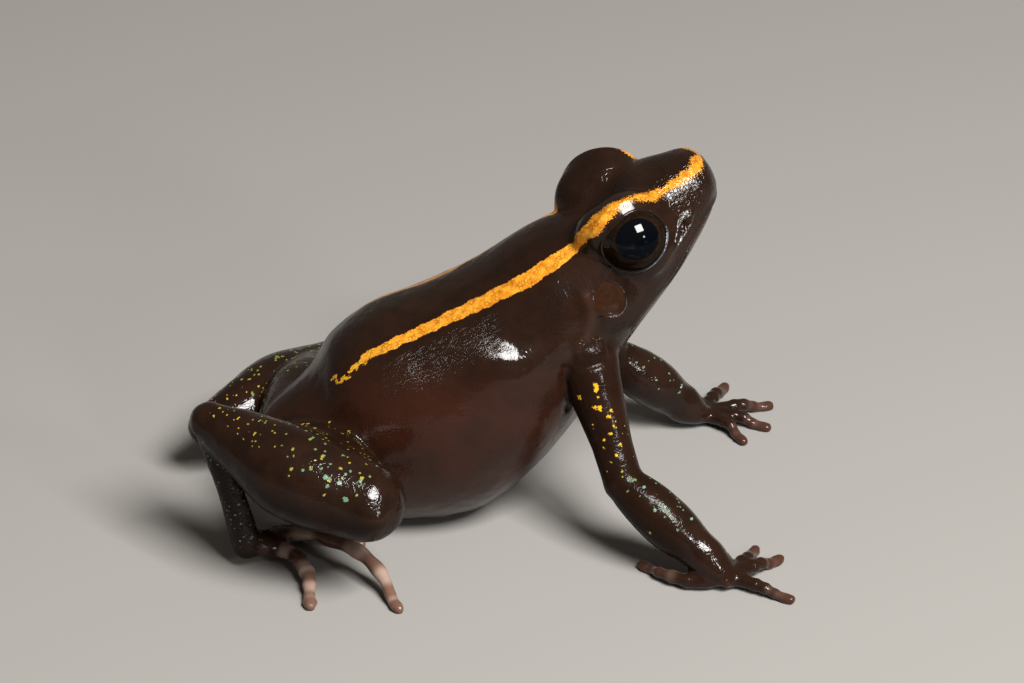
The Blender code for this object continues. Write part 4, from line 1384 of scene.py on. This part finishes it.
def make_eye(side, sign, look):
    """An eyeball with a clear bulge over the pupil, in its own axes: x ahead, y up, z along the gaze."""
    centre, _, top, out = eye_axes(sign)
    work = bmesh.new()
    bmesh.ops.create_uvsphere(work, u_segments=96, v_segments=64, radius=EYE_RADIUS * UNIT)
    for vert in work.verts:
        polar = math.acos(max(-1, min(1, vert.co.z / vert.co.length)))
        vert.co *= 1 + BULGE * float(fade(np.array(BULGE_EDGE - polar), 0, BULGE_SLOPE))
    mesh = new_mesh(f"eyeball_{side}", work)
    dress(mesh, look)
    eye = add_object(f"eyeball_{side}", mesh)
    frame_turn = Matrix((np.cross(top, out), top, out)).transposed().to_4x4()
    eye.matrix_world = Matrix.Translation(Vector(place(centre))) @ frame_turn
    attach(eye, "root")
    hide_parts(f"eye_{side}")


# Soft unevenness of the skin: size, seed and height of each noise
SOFT_NOISE = ((0.9, 3, 0.022), (0.38, 5, 0.010), (2.4, 8, 0.03))


def finish_skin():
    """Builds, shapes, marks and places the skin."""
    skin, parts, points, spots, mouth = build_skin()
    mesh = skin.data
    points = carve(mesh, points, spots, mouth)
    set_points(mesh, points)
    soft = sum(value_noise(points, size, seed) * height for size, seed, height in SOFT_NOISE)
    points = points + get_normals(mesh) * soft[:, None]
    edges = get_edges(mesh)
    points = relax(points, edges, *CUT_EASE)
    points = seat_eyes(points, edges)
    points[:, 2] = np.maximum(points[:, 2], 0.0)
    set_points(mesh, points)
    mark_skin(mesh, parts, points, spots, mouth)
    set_points(mesh, place(points))
    dress(mesh, skin_material())
    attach(skin, "root")
    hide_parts(*[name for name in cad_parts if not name.startswith("eye")])


# Stage, lights and camera

TARGET = np.array((2.92, 0.0, 8.41))
CAMERA_AZIMUTH, CAMERA_ELEVATION = math.radians(-9), math.radians(30)
CAMERA_FAR = 0.22
PIXELS_PER_UNIT = 21.5
FRAME_WIDTH = 1024
FLOOR_GREY = (0.215, 0.206, 0.194, 1)
STUDIO_GLOW, STUDIO_POWER = (1.0, 0.9, 0.8, 1), 0.16
LIGHT_FAR = 0.25
LIGHTS = [
    # name, direction to the right, up and towards the camera, size, power, colour
    ("key", (0.35, 0.41, 0.84), 0.099, 1.85, (1, 0.985, 0.96)),
    ("spark", (0.6, -0.03, 0.8), 0.025, 0.12, (1, 1, 1)),
]


def view_axes():
    a, e = CAMERA_AZIMUTH, CAMERA_ELEVATION
    back = np.array((math.sin(a) * math.cos(e), -math.cos(a) * math.cos(e), math.sin(e)))
    right = np.array((math.cos(a), math.sin(a), 0.0))
    return right, np.cross(back, right), back


def aim(obj, where, at):
    obj.location = Vector(where)
    obj.rotation_euler = Vector(np.array(where) - np.array(at)).to_track_quat("Z", "Y").to_euler()


def make_camera():
    _, _, back = view_axes()
    data = bpy.data.cameras.new("camera")
    data.sensor_width = 36.0
    data.lens = PIXELS_PER_UNIT * CAMERA_FAR / UNIT * data.sensor_width / FRAME_WIDTH
    data.clip_start, data.clip_end = 0.005, 20
    camera = add_object("camera", data)
    target = place(TARGET)
    aim(camera, target + back * CAMERA_FAR, target)
    bpy.context.scene.camera = camera


def area_light(name, along, size, power, colour, at):
    """A square soft light on the frog's head, from a direction given in the camera's axes."""
    direction = unit(sum(share * axis for share, axis in zip(along, view_axes())))
    data = bpy.data.lights.new(name, "AREA")
    data.shape, data.size, data.energy, data.color = "SQUARE", size, power, colour
    aim(add_object(name, data), at + direction * LIGHT_FAR, at)


def make_stage():
    work = bmesh.new()
    bmesh.ops.create_circle(work, cap_ends=True, segments=96, radius=3.0)
    mesh = new_mesh("floor", work)
    floor = add_object("floor", mesh)
    look, shader, _ = new_material("floor", 0.7)
    shader.inputs["Base Color"].default_value = FLOOR_GREY
    mesh.materials.append(look)
    world = bpy.data.worlds.new("studio")
    world.use_nodes = True
    background = world.node_tree.nodes["Background"]
    background.inputs["Color"].default_value = STUDIO_GLOW
    background.inputs["Strength"].default_value = STUDIO_POWER
    bpy.context.scene.world = world
    for light in LIGHTS:
        area_light(*light, place(on_head(4, 0, 0)))
    bpy.context.scene.view_settings.view_transform = "Standard"


make_camera()
make_stage()
finish_skin()
eye_look = eye_material()
for side, sign in SIDES.items():
    make_eye(side, sign, eye_look)
